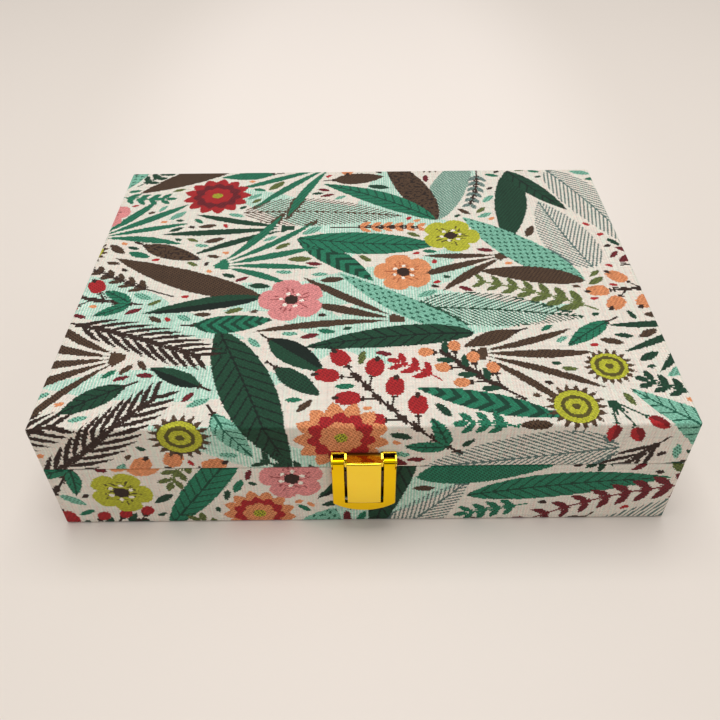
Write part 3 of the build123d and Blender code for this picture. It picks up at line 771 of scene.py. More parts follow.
class Threads:
    """The weave of the cloth: one cell is where a weft shows over a warp. Millimetres of cloth."""

    warp_pitch = 0.62
    weft_pitch = 0.5
    ragged_edge = 0.4
    rib_half_width = 0.42
    frond_lean = 1.5
    frond_stroke_share = 0.42
    vein_lean = 1.1
    vein_share = 0.17
    bar_share = 0.45
    ring_share = 0.4
    dash_row = 2.2
    dash_length_share = 0.42
    dash_width_share = 0.46
    streak_offset = 2.2
    streak_half_width = 0.4
    streak_lean = 0.8
    slub_share = 0.45
    rib_gain = 1.5
    rib_ease = 0.2
    twill_share = 0.9
    blot_level = 0.55
    patch_density = (0.09, 0.022)
    blot_density = (0.34, 0.3)
    mint_warps_from = 0.66
    thread_squareness = 3.0
    thread_unevenness = 0.15

    @classmethod
    def figures(cls) -> NodeTree:
        """The node group that draws the woven figures in their yarns, cell by cell.

        Returns:
            The group. It puts out the yarn's colour, darkened by a painted shade in the gaps between threads,
            and the height of the threads.
        """
        inputs = {
            "Gap shade": 0.46,
            "Cell variation": 0.3,
            "Patch variation": 0.12,
            "Warp variation": 0.1,
            "Weft variation": 0.08,
            "Mixed picks": 0.34,
            "Mint streaks": 0.5,
            "Mint": linear(196, 226, 206),
        }
        graph, given, out = start_group("Woven figures", inputs, {"Colour": "Color", "Height": "Float"})
        do = graph.math
        times, plus, minus, over = (partial(do, name) for name in ("MULTIPLY", "ADD", "SUBTRACT", "DIVIDE"))
        x, y, _ = graph.parts(graph.node("UVMap", uv_map="Cloth").outputs[0])
        row = do("FLOOR", over(y, cls.weft_pitch))
        odd = do("FLOORED_MODULO", row, 2.0)
        brick_x = do("MULTIPLY_ADD", odd, cls.warp_pitch / 2, x)
        column = do("FLOOR", over(brick_x, cls.warp_pitch))
        off_x = minus(brick_x, times(plus(column, 0.5), cls.warp_pitch))
        off_y = minus(y, times(plus(row, 0.5), cls.weft_pitch))
        cell = graph.vector(column, row)
        chance = graph.node("TexWhiteNoise", {"Vector": cell}, noise_dimensions="3D").outputs["Value"]
        warp = do("FLOOR", over(x, cls.warp_pitch))
        warp_chance = graph.node("TexWhiteNoise", {"W": warp}, noise_dimensions="1D").outputs["Value"]
        weft_chance = graph.node("TexWhiteNoise", {"W": row}, noise_dimensions="1D").outputs["Value"]

        edge = graph.node("Attribute", attribute_name="edge")
        depth, slope_x, slope_y = graph.parts(edge.outputs["Vector"])
        pitch = edge.outputs["Alpha"]
        local = graph.node("Attribute", attribute_name="local")
        u, v, v_slope_x = graph.parts(local.outputs["Vector"])
        v_slope_y = local.outputs["Alpha"]
        worn = graph.node("Attribute", attribute_name="worn")
        upper_yarn, upper_fill, under_yarn = graph.parts(worn.outputs["Vector"])
        under_fill = worn.outputs["Alpha"]

        def at_middle(value: Socket, slope_x: Socket, slope_y: Socket) -> Socket:
            """A value at the middle of its cell, as a cell is woven whole."""
            drift = plus(times(slope_x, off_x), times(slope_y, off_y))
            return minus(value, drift)

        depth = at_middle(depth, slope_x, slope_y)
        v = at_middle(v, v_slope_x, v_slope_y)
        turned = minus(times(v_slope_y, off_x), times(v_slope_x, off_y))
        u = minus(u, turned)
        across = do("ABSOLUTE", v)

        def repeat(value: Socket, share: float) -> Socket:
            """A mask of the first share of every pitch."""
            return do("LESS_THAN", do("FRACT", over(value, pitch)), share)

        def leaning(lean: float) -> Socket:
            """How far along the figure a line lies that leans back from its rib."""
            return minus(u, times(across, lean))

        rib = do("LESS_THAN", across, cls.rib_half_width)
        frond = do("MAXIMUM", rib, repeat(leaning(cls.frond_lean), cls.frond_stroke_share))
        stalk = do("LESS_THAN", across, pitch)
        is_frond = do("COMPARE", upper_fill, float(Fill.FROND), 0.5)
        is_stalk = do("COMPARE", upper_fill, float(Fill.STALK), 0.5)
        stroke = graph.between(is_stalk, graph.between(is_frond, 1.0, frond), stalk)
        ragged = do("MULTIPLY_ADD", minus(chance, 0.5), cls.ragged_edge, depth)
        shown = times(do("GREATER_THAN", ragged, 0.0), stroke)
        yarn = graph.between(shown, under_yarn, upper_yarn)
        fill = graph.between(shown, under_fill, upper_fill)

        patches = graph.noise(graph.vector(*map(times, (x, y), cls.patch_density)), 1.0, 3.0)
        blots = graph.noise(graph.vector(*map(times, (column, row), cls.blot_density)), 1.0, 1.0)
        warp_line = do("FLOORED_MODULO", warp, 2.0)
        diagonal = do("FLOORED_MODULO", plus(column, row), 3.0)
        twill = do("LESS_THAN", diagonal, 0.5)
        steep = do("LESS_THAN", do("FLOORED_MODULO", do("MULTIPLY_ADD", row, 2.0, column), 3.0), 0.5)
        dash_shift = times(do("FLOOR", over(v, cls.dash_row)), 0.5)
        dash_along = do("FRACT", plus(over(u, pitch), dash_shift))
        dash_across = do("FRACT", over(v, cls.dash_row))
        streak_side = do("ABSOLUTE", minus(across, cls.streak_offset))
        slub = do("MULTIPLY_ADD", warp_line, cls.slub_share, patches)
        radius = do("SQRT", plus(times(u, u), times(v, v)))
        fills = {
            Fill.GROUND: times(slub, do("POWER", chance, 2.0)),
            Fill.RIBBED: times(warp_line, do("SMOOTH_MIN", times(patches, cls.rib_gain), 1.0, cls.rib_ease)),
            Fill.TWILL: times(twill, cls.twill_share),
            Fill.PEPPER: steep,
            Fill.MOTTLED: do("GREATER_THAN", blots, cls.blot_level),
            Fill.VEINED: do("MAXIMUM", rib, repeat(leaning(cls.vein_lean), cls.vein_share)),
            Fill.HALVED: do("GREATER_THAN", v, 0.0),
            Fill.DASHED: times(
                do("LESS_THAN", dash_along, cls.dash_length_share),
                do("LESS_THAN", dash_across, cls.dash_width_share),
            ),
            Fill.BARRED: repeat(leaning(1.0), cls.bar_share),
            Fill.RINGED: repeat(radius, cls.ring_share),
            Fill.STREAKED: times(
                do("LESS_THAN", do("MINIMUM", across, streak_side), cls.streak_half_width),
                do("LESS_THAN", do("MULTIPLY_ADD", across, cls.streak_lean, u), pitch),
            ),
        }
        partner: object = 0.0
        for kind, mask in fills.items():
            partner = do("MULTIPLY_ADD", do("COMPARE", fill, float(kind), 0.5), mask, partner)
        is_figure = do("GREATER_THAN", fill, float(Fill.RIBBED) + 0.5)
        picks = times(times(twill, is_figure), given["Mixed picks"])
        partner = do("MAXIMUM", partner, picks)
        stop = over(plus(yarn, 0.5), float(len(Yarn)))
        colour = graph.tint(partner, cls.palette(graph, stop, 0), cls.palette(graph, stop, 1))
        is_ground = do("LESS_THAN", fill, float(Fill.GROUND) + 0.5)
        streak = times(do("GREATER_THAN", warp_chance, cls.mint_warps_from), times(is_ground, patches))
        colour = graph.tint(times(streak, given["Mint streaks"]), colour, given["Mint"])

        def rise(off: Socket, spacing: float) -> Socket:
            """How far a thread stands up, from 0 at its edges to 1 along its middle."""
            away = do("ABSOLUTE", over(off, spacing / 2))
            return minus(1.0, do("POWER", away, cls.thread_squareness))

        # Painted shade: the colour darkens in the gaps between threads, and the cell, patch, warp and weft
        # variations add random tone.
        bulge = times(rise(off_x, cls.warp_pitch), rise(off_y, cls.weft_pitch))
        shade = minus(1.0, times(given["Gap shade"], minus(1.0, bulge)))
        swings = {"Cell": chance, "Patch": patches, "Warp": warp_chance, "Weft": weft_chance}
        for name, value in swings.items():
            swing = times(given[f"{name} variation"], minus(value, 0.5))
            shade = plus(shade, swing)
        grey = graph.vector(shade, shade, shade)
        graph.feed(out["Colour"], graph.tint(1.0, colour, grey, "MULTIPLY"))
        graph.feed(out["Height"], do("MULTIPLY_ADD", chance, cls.thread_unevenness, bulge))
        return graph.tree

    @staticmethod
    def palette(graph: Graph, stop: Socket, part: int) -> Socket:
        """A ramp with one stop for each yarn.

        Args:
            graph: Where the ramp goes.
            stop: The place on the ramp.
            part: 0 for the yarns' own colours and 1 for those of the yarns woven in with them.

        Returns:
            The ramp's colour.
        """
        ramp = graph.node("ValToRGB", {0: stop})
        ramp.color_ramp.interpolation = "CONSTANT"
        elements = ramp.color_ramp.elements
        elements.remove(elements[1])
        for yarn in Yarn:
            element = elements[0] if yarn == 0 else elements.new(yarn / len(Yarn))
            element.position = yarn / len(Yarn)
            element.color = (*linear(*YARN_COLOURS[yarn][part]), 1.0)
        return ramp.outputs[0]


def new_material(name: str) -> tuple[Material, Graph, Node]:
    """Makes a node material.

    Args:
        name: The material's name.

    Returns:
        The material, its graph and its Principled BSDF.
    """
    made = bpy.data.materials.new(name)
    made.use_nodes = True
    return made, Graph(made.node_tree), made.node_tree.nodes["Principled BSDF"]


@dataclass(frozen=True)
class BrocadeFinish:
    """Matt woven cloth with its figures."""

    roughness: float = 0.78
    gloss: float = 0.3
    sheen: float = 0.05
    sheen_roughness: float = 0.4
    thread_height: float = 0.00012
    bump_strength: float = 0.5

    def material(self) -> Material:
        """Makes the material."""
        made, graph, shader = new_material("woven_brocade")
        woven = graph.group(Threads.figures())
        inputs = {
            "Base Color": woven.outputs["Colour"],
            "Normal": graph.bump(woven.outputs["Height"], self.bump_strength, self.thread_height),
            "Roughness": self.roughness,
            "Specular IOR Level": self.gloss,
            "Sheen Weight": self.sheen,
            "Sheen Roughness": self.sheen_roughness,
        }
        graph.fill(shader, inputs)
        return made


class Profile:
    """The line that rings of a shell follow, as insets from the outline and heights."""

    def __init__(self, inset: float, height: float) -> None:
        """Starts the line at one ring."""
        self.insets = [inset]
        self.heights = [height]

    def line(self, inset: float, height: float, row: float | None = None) -> "Profile":
        """Runs straight to an inset and a height, in one row or in rows of about the given size."""
        start = np.array([self.insets[-1], self.heights[-1]])
        end = np.array([inset, height])
        rows = 1 if row is None else max(1, round(float(np.hypot(*(end - start))) / row))
        for share in np.linspace(0, 1, rows + 1)[1:]:
            place = start + share * (end - start)
            self.insets.append(float(place[0]))
            self.heights.append(float(place[1]))
        return self

    def arc(
        self, inset: float, height: float, radius: float, start: float, end: float, rows: int
    ) -> "Profile":
        """Runs round a centre, between two angles in degrees, where 0 points inwards and 90 up."""
        for angle in np.radians(np.linspace(start, end, rows + 1)[1:]):
            self.insets.append(inset + radius * math.cos(angle))
            self.heights.append(height + radius * math.sin(angle))
        return self

    def travelled(self) -> Array:
        """How far along the line each ring lies."""
        steps = np.hypot(np.diff(self.insets), np.diff(self.heights))
        return np.concatenate([[0.0], np.cumsum(steps)])

    @property
    def last(self) -> int:
        """The number of the last ring."""
        return len(self.insets) - 1


def release(bm: bmesh.types.BMesh, name: str) -> Object:
    """Turns a finished bmesh into a smooth object in the scene."""
    mesh = bpy.data.meshes.new(name)
    bm.to_mesh(mesh)
    bm.free()
    mesh.shade_smooth()
    made = bpy.data.objects.new(name, mesh)
    bpy.context.scene.collection.objects.link(made)
    return made


def read_all(items: bpy.types.bpy_prop_collection, name: str, kind: type, size: int = 1) -> Array:
    """Reads one property of all of a mesh's points, corners or faces."""
    values = np.empty(size * len(items), kind)
    items.foreach_get(name, values)
    return values


@dataclass
class RingShell:
    """A shell whose rings go round a rectangle with round corners. It starts from a grid or from one loop."""

    name: str
    half_width: float
    half_depth: float
    corner_round: float
    profile: Profile
    cell: float
    capped: bool = True
    crown: Callable[[float, float], float] | None = None

    def place(self, across: float, up: float, ring: int) -> Vector:
        """Where a point of a ring lies.

        Args:
            across: The point's place across the ring, from -1 to 1.
            up: The point's place from front to back, from -1 to 1.
            ring: The ring's number.

        Returns:
            The point.
        """
        inset = self.profile.insets[ring]
        wide, deep = self.half_width - inset, self.half_depth - inset
        turn = max(self.corner_round - inset, 0.0)
        x, y = across * wide, up * deep
        core_x = min(max(x, turn - wide), wide - turn)
        core_y = min(max(y, turn - deep), deep - turn)
        away = math.hypot(x - core_x, y - core_y)
        if away > 0:
            x, y = core_x + (x - core_x) * turn / away, core_y + (y - core_y) * turn / away
        height = self.profile.heights[ring]
        if self.crown and ring == 0:
            height += self.crown(across, up)
        return Vector((x, y, height))

    def build(self) -> Object:
        """Makes the shell.

        Returns:
            Its object, with its rings and places kept as attributes for dressing it.
        """
        bm = bmesh.new()
        across = bm.verts.layers.float.new("across")
        up = bm.verts.layers.float.new("up")
        ring = bm.verts.layers.int.new("ring")
        columns = round(2 * self.half_width / self.cell)
        rows = round(2 * self.half_depth / self.cell)
        if self.capped:
            bmesh.ops.create_grid(bm, x_segments=columns, y_segments=rows, size=1.0)
            for vert in bm.verts:
                vert[across], vert[up] = vert.co.x, vert.co.y
        else:
            bmesh.ops.create_circle(bm, segments=2 * (columns + rows), radius=1.0)
            for i, vert in enumerate(sorted(bm.verts, key=lambda v: math.atan2(v.co.y, v.co.x))):
                vert[across], vert[up] = self.perimeter(i, columns, rows)
        loop = [edge for edge in bm.edges if edge.is_boundary or edge.is_wire]
        first = loop
        for number in range(1, self.profile.last + 1):
            made = bmesh.ops.extrude_edge_only(bm, edges=loop)["geom"]
            loop = [item for item in made if isinstance(item, bmesh.types.BMEdge)]
            for vert in (item for item in made if isinstance(item, bmesh.types.BMVert)):
                vert[ring] = number
        for vert in bm.verts:
            vert.co = self.place(vert[across], vert[up], vert[ring])
        if self.capped:
            bmesh.ops.contextual_create(bm, geom=loop)
        else:
            bmesh.ops.bridge_loops(bm, edges=first + loop)
        bmesh.ops.recalc_face_normals(bm, faces=bm.faces)
        return release(bm, self.name)

    @staticmethod
    def perimeter(index: int, columns: int, rows: int) -> Place:
        """The place of one of the loop's points, counted from the front left corner to the right."""
        if index < columns:
            return 2 * index / columns - 1, -1.0
        index -= columns
        if index < rows:
            return 1.0, 2 * index / rows - 1
        index -= rows
        if index < columns:
            return 1 - 2 * index / columns, 1.0
        return -1.0, 1 - 2 * (index - columns) / rows


class Side(IntEnum):
    """The sides of the box, in the order in which a strip of cloth goes round it."""

    FRONT = 0
    RIGHT = 1
    BACK = 2
    LEFT = 3
    TOP = 4


@dataclass
class ShellFaces:
    """The four-cornered faces of a ring shell, read back from its mesh."""

    corners: Array
    across: Array
    up: Array
    ring: Array
    side: Array

    @classmethod
    def read(cls, mesh: Mesh) -> "ShellFaces":
        """Reads the faces, and which side of the box each is on.

        Args:
            mesh: The shell's mesh. It loses the attributes that are read.

        Returns:
            The faces.
        """
        starts, counts = (read_all(mesh.polygons, name, np.int32) for name in ("loop_start", "loop_total"))
        verts = read_all(mesh.loops, "vertex_index", np.int32)
        corners = starts[counts == 4][:, None] + np.arange(4)
        read = []
        for name, kind in (("across", np.float32), ("up", np.float32), ("ring", np.int32)):
            read.append(read_all(mesh.attributes[name].data, "value", kind)[verts[corners]])
            mesh.attributes.remove(mesh.attributes[name])
        across, up, ring = read
        side = np.full(len(corners), int(Side.TOP))
        for which, values, edge in (
            (Side.FRONT, up, -1.0),
            (Side.BACK, up, 1.0),
            (Side.RIGHT, across, 1.0),
            (Side.LEFT, across, -1.0),
        ):
            side[(np.abs(values - edge) < 1e-5).all(1) & (ring.max(1) > 0)] = which
        return cls(corners, across, up, ring, side)


@dataclass
class ClothCover:
    """A cloth that covers one half of the box: a ring shell with a weave design laid on it."""

    shell: RingShell
    cloth_rings: int
    seed: int
    back_scale: float = 0.07
    back_room: float = 0.01
    ring_shrink: float = 0.05

    def flat_size(self) -> Place:
        """The width and the length that the cloth was cut to."""
        raise NotImplementedError

    def flat_place(self, faces: ShellFaces, wide: Array, deep: Array, along: Array) -> Array:
        """Lays the faces out on the flat cloth.

        Args:
            faces: The shell's faces.
            wide: Half the width of the ring that each corner is on.
            deep: Half that ring's depth.
            along: How far along the shell's profile that ring lies.

        Returns:
            The place on the flat cloth of each corner of each face.
        """
        raise NotImplementedError

    def bake_place(self, faces: ShellFaces, flat: Array) -> Array:
        """The place on the bake map of each corner of each face, from 0 to 1."""
        raise NotImplementedError

    def build(self, material: Material) -> Object:
        """Makes the cover, lays its design on it and gives it its material.

        Args:
            material: The brocade.

        Returns:
            The cover's object.
        """
        made = self.shell.build()
        mesh = made.data
        mesh.materials.append(material)
        faces = ShellFaces.read(mesh)
        insets = np.array(self.shell.profile.insets)[faces.ring]
        along = self.shell.profile.travelled()[faces.ring]
        wide, deep = self.shell.half_width - insets, self.shell.half_depth - insets
        flat = self.flat_place(faces, wide, deep, along)
        bake = self.bake_place(faces, flat)
        hidden = faces.ring.max(1) > self.cloth_rings
        shrink = self.back_scale * (1 - self.ring_shrink * (faces.ring - self.cloth_rings))
        parked = np.stack([faces.across * shrink, faces.up * shrink], -1) + self.back_middle()
        bake[hidden] = parked[hidden]
        shown = ~hidden
        design = WeaveDesign(*(side / MM for side in self.flat_size()), self.seed)
        edge, local, worn = design.paint(flat[shown, :, 0] / MM, flat[shown, :, 1] / MM)
        LOG.info("%s: %d figures on %d faces", mesh.name, len(design.figures), int(shown.sum()))
        corners = faces.corners[shown]
        self.write(mesh, "edge", "CORNER", corners, edge, (1.0, 0.0, 0.0, 1.0))
        self.write(mesh, "local", "CORNER", corners, local, (0.0, 0.0, 0.0, 0.0))
        quads = np.flatnonzero(read_all(mesh.polygons, "loop_total", np.int32) == 4)[shown]
        self.write(mesh, "worn", "FACE", quads, worn, (0.0, 0.0, 0.0, 0.0))
        self.write_map(mesh, "OFBake", faces.corners, bake, self.back_middle())
        self.write_map(mesh, "Cloth", faces.corners, flat / MM, (0.0, 0.0))
        return made

    def back_middle(self) -> Place:
        """Where the cloth's hidden back lies on the bake map."""
        middle = 1 - self.back_scale - self.back_room
        return middle, middle

    @staticmethod
    def write(mesh: Mesh, name: str, domain: str, where: Array, values: Array, rest: tuple) -> None:
        """Writes a four-part attribute.

        Args:
            mesh: The mesh that gets it.
            name: Its name.
            domain: CORNER or FACE.
            where: The numbers of the corners or faces that have values.
            values: Their values.
            rest: The value everywhere else.
        """
        made = mesh.attributes.new(name, "FLOAT_COLOR", domain)
        every = np.tile(np.array(rest, np.float32), (len(made.data), 1))
        every[where.ravel()] = values.reshape(-1, 4)
        made.data.foreach_set("color", every.ravel())

    @staticmethod
    def write_map(mesh: Mesh, name: str, corners: Array, places: Array, rest: tuple) -> None:
        """Writes a UV map, with one place everywhere else."""
        made = mesh.uv_layers.new(name=name)
        every = np.tile(np.array(rest, np.float32), (len(mesh.loops), 1))
        every[corners.ravel()] = places.reshape(-1, 2)
        made.uv.foreach_set("vector", every.ravel())


class LidCloth(ClothCover):
    """The lid's cloth: one sheet over the top, down all four sides and in over the rim."""

    bake_room = 1.01

    def flat_size(self) -> Place:
        """The width and the length that the cloth was cut to."""
        drop = float(self.shell.profile.travelled()[self.cloth_rings])
        inset = self.shell.profile.insets[0]
        return 2 * (self.shell.half_width - inset + drop), 2 * (self.shell.half_depth - inset + drop)

    def flat_area(self) -> float:
        """The area of the cut cloth, without its four corners."""
        drop = float(self.shell.profile.travelled()[self.cloth_rings])
        width, length = self.flat_size()
        return width * length - 4 * drop * drop

    def flat_place(self, faces: ShellFaces, wide: Array, deep: Array, along: Array) -> Array:
        """The place on the flat cloth of each corner of each face."""
        x, y = faces.across * wide, faces.up * deep
        inset = self.shell.profile.insets[0]
        out_x, out_y = self.shell.half_width - inset + along, self.shell.half_depth - inset + along
        side = faces.side[:, None]
        x = np.where(side == Side.RIGHT, out_x, np.where(side == Side.LEFT, -out_x, x))
        y = np.where(side == Side.BACK, out_y, np.where(side == Side.FRONT, -out_y, y))
        return np.stack([x, y], -1)

    def bake_place(self, faces: ShellFaces, flat: Array) -> Array:
        """The place on the bake map of each corner of each face: the flat cloth as it is."""
        span = self.bake_room * max(self.flat_size())
        return flat / span + 0.5


class BaseCloth(ClothCover):
    """The base's cloth: one strip round all four sides, in over the rim and in under the floor."""

    row_room = 1.04
    bake_margin = 0.003
    bake_back = (0.85, 0.37)

    def flat_size(self) -> Place:
        """The length and the width that the strip was cut to."""
        length = 4 * (self.shell.half_width + self.shell.half_depth)
        return length, float(self.shell.profile.travelled()[self.cloth_rings])

    def flat_place(self, faces: ShellFaces, wide: Array, deep: Array, along: Array) -> Array:
        """The place on the flat cloth of each corner of each face, with the strip's middle at the origin."""
        length, height = self.flat_size()
        starts = self.starts()
        x = self.on_side(faces) + starts[faces.side][:, None] - length / 2
        return np.stack([x, along - height / 2], -1)

    def on_side(self, faces: ShellFaces) -> Array:
        """How far along its own side of the box each corner of each face lies."""
        full_width, full_depth = 2 * self.shell.half_width, 2 * self.shell.half_depth
        side = faces.side[:, None]
        share = np.where(side % 2 == 0, faces.across, faces.up)
        share = np.where(side >= Side.BACK, -share, share)
        return (share + 1) / 2 * np.where(side % 2 == 0, full_width, full_depth)

    def starts(self) -> Array:
        """How far along the strip each side of the box begins."""
        full_width, full_depth = 2 * self.shell.half_width, 2 * self.shell.half_depth
        return np.array([0.0, full_width, full_width + full_depth, 2 * full_width + full_depth, 0.0])

    def bake_place(self, faces: ShellFaces, flat: Array) -> Array:
        """The place on the bake map of each corner of each face: the four sides above one another."""
        height = self.flat_size()[1]
        row = self.row_room * height
        x = self.on_side(faces)
        y = flat[..., 1] + height / 2 + faces.side[:, None] * row
        return np.stack([x, y], -1) / (4 * row) + self.bake_margin

    def back_middle(self) -> Place:
        """Where the cloth's hidden back lies: beyond the end of the right side's row."""
        return self.bake_back


def node_box(name: str) -> tuple[Vector, Vector]:
    """The lowest and highest corner of a node of the frame."""
    low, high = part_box(name)
    return Vector(low), Vector(high)


def clasp_place() -> Place:
    """Where the front of the cloth is, and the height of the seam between the halves."""
    base_low, base_high = node_box("base_cover")
    lid_low, _ = node_box("lid_cover")
    return base_low.y, (base_high.z + lid_low.z) / 2


def thread_group() -> NodeTree:
    """The node group of fine crossed threads, for satin and wadding.

    Returns:
        The group. It puts out the threads' height and a slow variation, both from 0 to 1.
    """
    inputs = {"Threads per metre": 3200.0, "Stretch": 6.0, "Patches per metre": 25.0, "Rise": 0.7}
    graph, given, out = start_group("Crossed threads", inputs, {"Height": "Float", "Patches": "Float"})
    place = graph.place()
    x, y, z = graph.parts(place)
    lay = graph.vector(
        graph.math("DIVIDE", x, given["Stretch"]), y, graph.math("MULTIPLY", z, given["Rise"])
    )
    graph.feed(out["Height"], graph.noise(lay, given["Threads per metre"], 1.0))
    graph.feed(out["Patches"], graph.noise(place, given["Patches per metre"], 3.0))
    return graph.tree


def grain_group() -> NodeTree:
    """The node group of pressed fibres, for the boards and the card.

    Returns:
        The group. It puts out the fibres' mask and their height, both from 0 to 1.
    """
    outputs = {"Fibres": "Float", "Height": "Float"}
    graph, given, out = start_group("Pressed fibres", {"Fibres per metre": 900.0}, outputs)
    place, density = graph.place(), given["Fibres per metre"]
    ways = ((0.25, 1.0, 1.0), (1.0, 0.25, 1.0))
    noises = [graph.noise(graph.stretched(place, way), density, 4.0) for way in ways]
    fibres = graph.math("MAXIMUM", *noises)
    sharpened = graph.math("MULTIPLY_ADD", fibres, 2.4, -0.9)
    graph.feed(out["Fibres"], graph.math("SMOOTH_MAX", sharpened, 0.0, 0.2))
    graph.feed(out["Height"], fibres)
    return graph.tree


def brushed_group() -> NodeTree:
    """The node group of a plated metal's slight wear: hairlines, dulled patches and patches of darker tone.

    Returns:
        The group. It puts out a dullness mask, a tone mask and a height, all from 0 to 1.
    """
    inputs = {"Hairlines per metre": 2600.0, "Patches per metre": 160.0}
    outputs = {"Dull": "Float", "Tone": "Float", "Height": "Float"}
    graph, given, out = start_group("Plated wear", inputs, outputs)
    place = graph.place()
    hair = graph.noise(graph.stretched(place, (0.05, 1.0, 1.0)), given["Hairlines per metre"], 2.0)
    patch = graph.noise(place, given["Patches per metre"], 3.0)
    graph.feed(out["Dull"], graph.math("MULTIPLY", hair, patch))
    graph.feed(out["Tone"], patch)
    graph.feed(out["Height"], hair)
    return graph.tree


@dataclass(frozen=True)
class FabricFinish:
    """Satin or wadding: a colour that varies a little, fine threads and a soft sheen."""

    name: str
    pale: Colour
    deep: Colour
    roughness: float
    sheen: float
    threads: float
    bump_strength: float
    sheen_roughness: float = 0.3
    thread_height: float = 0.0001
    thread_share: float = 0.45
    patch_share: float = 0.5

    def material(self, group: NodeTree) -> Material:
        """Makes the material around the crossed threads."""
        made, graph, shader = new_material(self.name)
        threads = graph.group(group, {"Threads per metre": self.threads})
        height = threads.outputs["Height"]
        patches = graph.math("MULTIPLY", threads.outputs["Patches"], self.patch_share)
        shade = graph.math("MULTIPLY_ADD", height, self.thread_share, patches)
        inputs = {
            "Base Color": graph.tint(shade, linear(*self.deep), linear(*self.pale)),
            "Normal": graph.bump(height, self.bump_strength, self.thread_height),
            "Roughness": self.roughness,
            "Sheen Weight": self.sheen,
            "Sheen Roughness": self.sheen_roughness,
        }
        graph.fill(shader, inputs)
        return made


@dataclass(frozen=True)
class BoardFinish:
    """Fibreboard or card: pressed fibres in two tones."""

    name: str
    pale: Colour
    deep: Colour
    fibres: float
    roughness: float = 0.85
    bump_strength: float = 0.3
    fibre_height: float = 0.0001

    def material(self, group: NodeTree) -> Material:
        """Makes the material around the pressed fibres."""
        made, graph, shader = new_material(self.name)
        grain = graph.group(group, {"Fibres per metre": self.fibres})
        inputs = {
            "Base Color": graph.tint(grain.outputs["Fibres"], linear(*self.deep), linear(*self.pale)),
            "Normal": graph.bump(grain.outputs["Height"], self.bump_strength, self.fibre_height),
            "Roughness": self.roughness,
        }
        graph.fill(shader, inputs)
        return made


@dataclass(frozen=True)
class MetalFinish:
    """Plated metal with slight wear and, where asked, a painted dark shade in its recesses next to the cloth.
    """

    name: str
    bright: Colour
    worn: Colour
    polish: float
    dull: float
    bump_strength: float
    # The painted shade in the recesses by the cloth: its colour, where it lies and its roughness.
    recess_shade: Colour
    recess_shade_from: Place = (0.0, 0.0)
    recess_shade_below: float = 0.0
    recess_dull: float = 0.45
    lacquer: float = 0.0
    hairline_depth: float = 0.00002

    def material(self, group: NodeTree) -> Material:
        """Makes the material around the plated wear, with a painted dark shade and duller metal by the cloth.
        """
        made, graph, shader = new_material(self.name)
        wear = graph.group(group)
        tone = graph.tint(wear.outputs["Tone"], linear(*self.worn), linear(*self.bright))
        rough = graph.between(wear.outputs["Dull"], self.polish, self.dull)
        # Painted shade: close to the cloth and below a given height, where shade falls, the metal turns dark
        # and dull.
        if self.recess_shade_below:
            _, y, z = graph.parts(graph.place())
            deep, shallow = self.recess_shade_from
            shade_near_cloth = graph.node("MapRange", {0: y, 1: shallow, 2: deep}).outputs[0]
            inside = graph.math("MULTIPLY", shade_near_cloth, graph.math("LESS_THAN", z, self.recess_shade_below))
            tone = graph.tint(inside, tone, linear(*self.recess_shade))
            rough = graph.between(inside, rough, self.recess_dull)
        inputs = {
            "Base Color": tone,
            "Normal": graph.bump(wear.outputs["Height"], self.bump_strength, self.hairline_depth),
            "Roughness": rough,
            "Coat Weight": self.lacquer,
            "Metallic": 1.0,
        }
        graph.fill(shader, inputs)
        return made


class Finishes:
    """Every finish of the box, made once."""

    # Where the gilt's painted shade lies: distances out from the cloth, and its top over the seam.
    shade_shallow = 0.9 * MM
    shade_deep = 1.8 * MM
    shade_top = 9.0 * MM
    plate_lacquer = 0.6

    def __init__(self) -> None:
        """Makes the materials and the groups that they share."""
        threads, grain, wear = thread_group(), grain_group(), brushed_group()
        self.brocade = BrocadeFinish().material()
        satin = FabricFinish("ivory_satin", (238, 228, 206), (216, 200, 172), 0.42, 0.35, 3400.0, 0.25)
        self.satin = satin.material(threads)
        wadding = FabricFinish("white_wadding", (240, 240, 236), (218, 218, 212), 0.95, 0.3, 900.0, 0.9)
        self.wadding = wadding.material(threads)
        board = BoardFinish("raw_fibreboard", (178, 146, 106), (132, 100, 66), 900.0)
        self.board = board.material(grain)
        paper = BoardFinish("faced_card", (222, 212, 188), (204, 192, 166), 2200.0)
        self.paper = paper.material(grain)
        front, seam = clasp_place()
        gilt = MetalFinish("polished_gilt", (255, 219, 38), (251, 209, 27), 0.05, 0.14, 0.02, (92, 56, 14))
        # Painted shade for both gilts: dark, dull metal close to the cloth, below a height over the seam.
        shaded_hollow = (front - self.shade_shallow, front - self.shade_deep)
        gilt = replace(gilt, recess_shade_from=shaded_hollow, recess_shade_below=seam + self.shade_top)
        self.gold = replace(gilt, lacquer=self.plate_lacquer).material(wear)
        deep_gilt = replace(gilt, name="deep_gilt", bright=(250, 207, 8), worn=(242, 196, 4))
        self.flap_gold = deep_gilt.material(wear)
        brass = MetalFinish("satin_brass", (226, 186, 104), (192, 146, 70), 0.24, 0.5, 0.2, (120, 84, 36))
        self.brass = brass.material(wear)


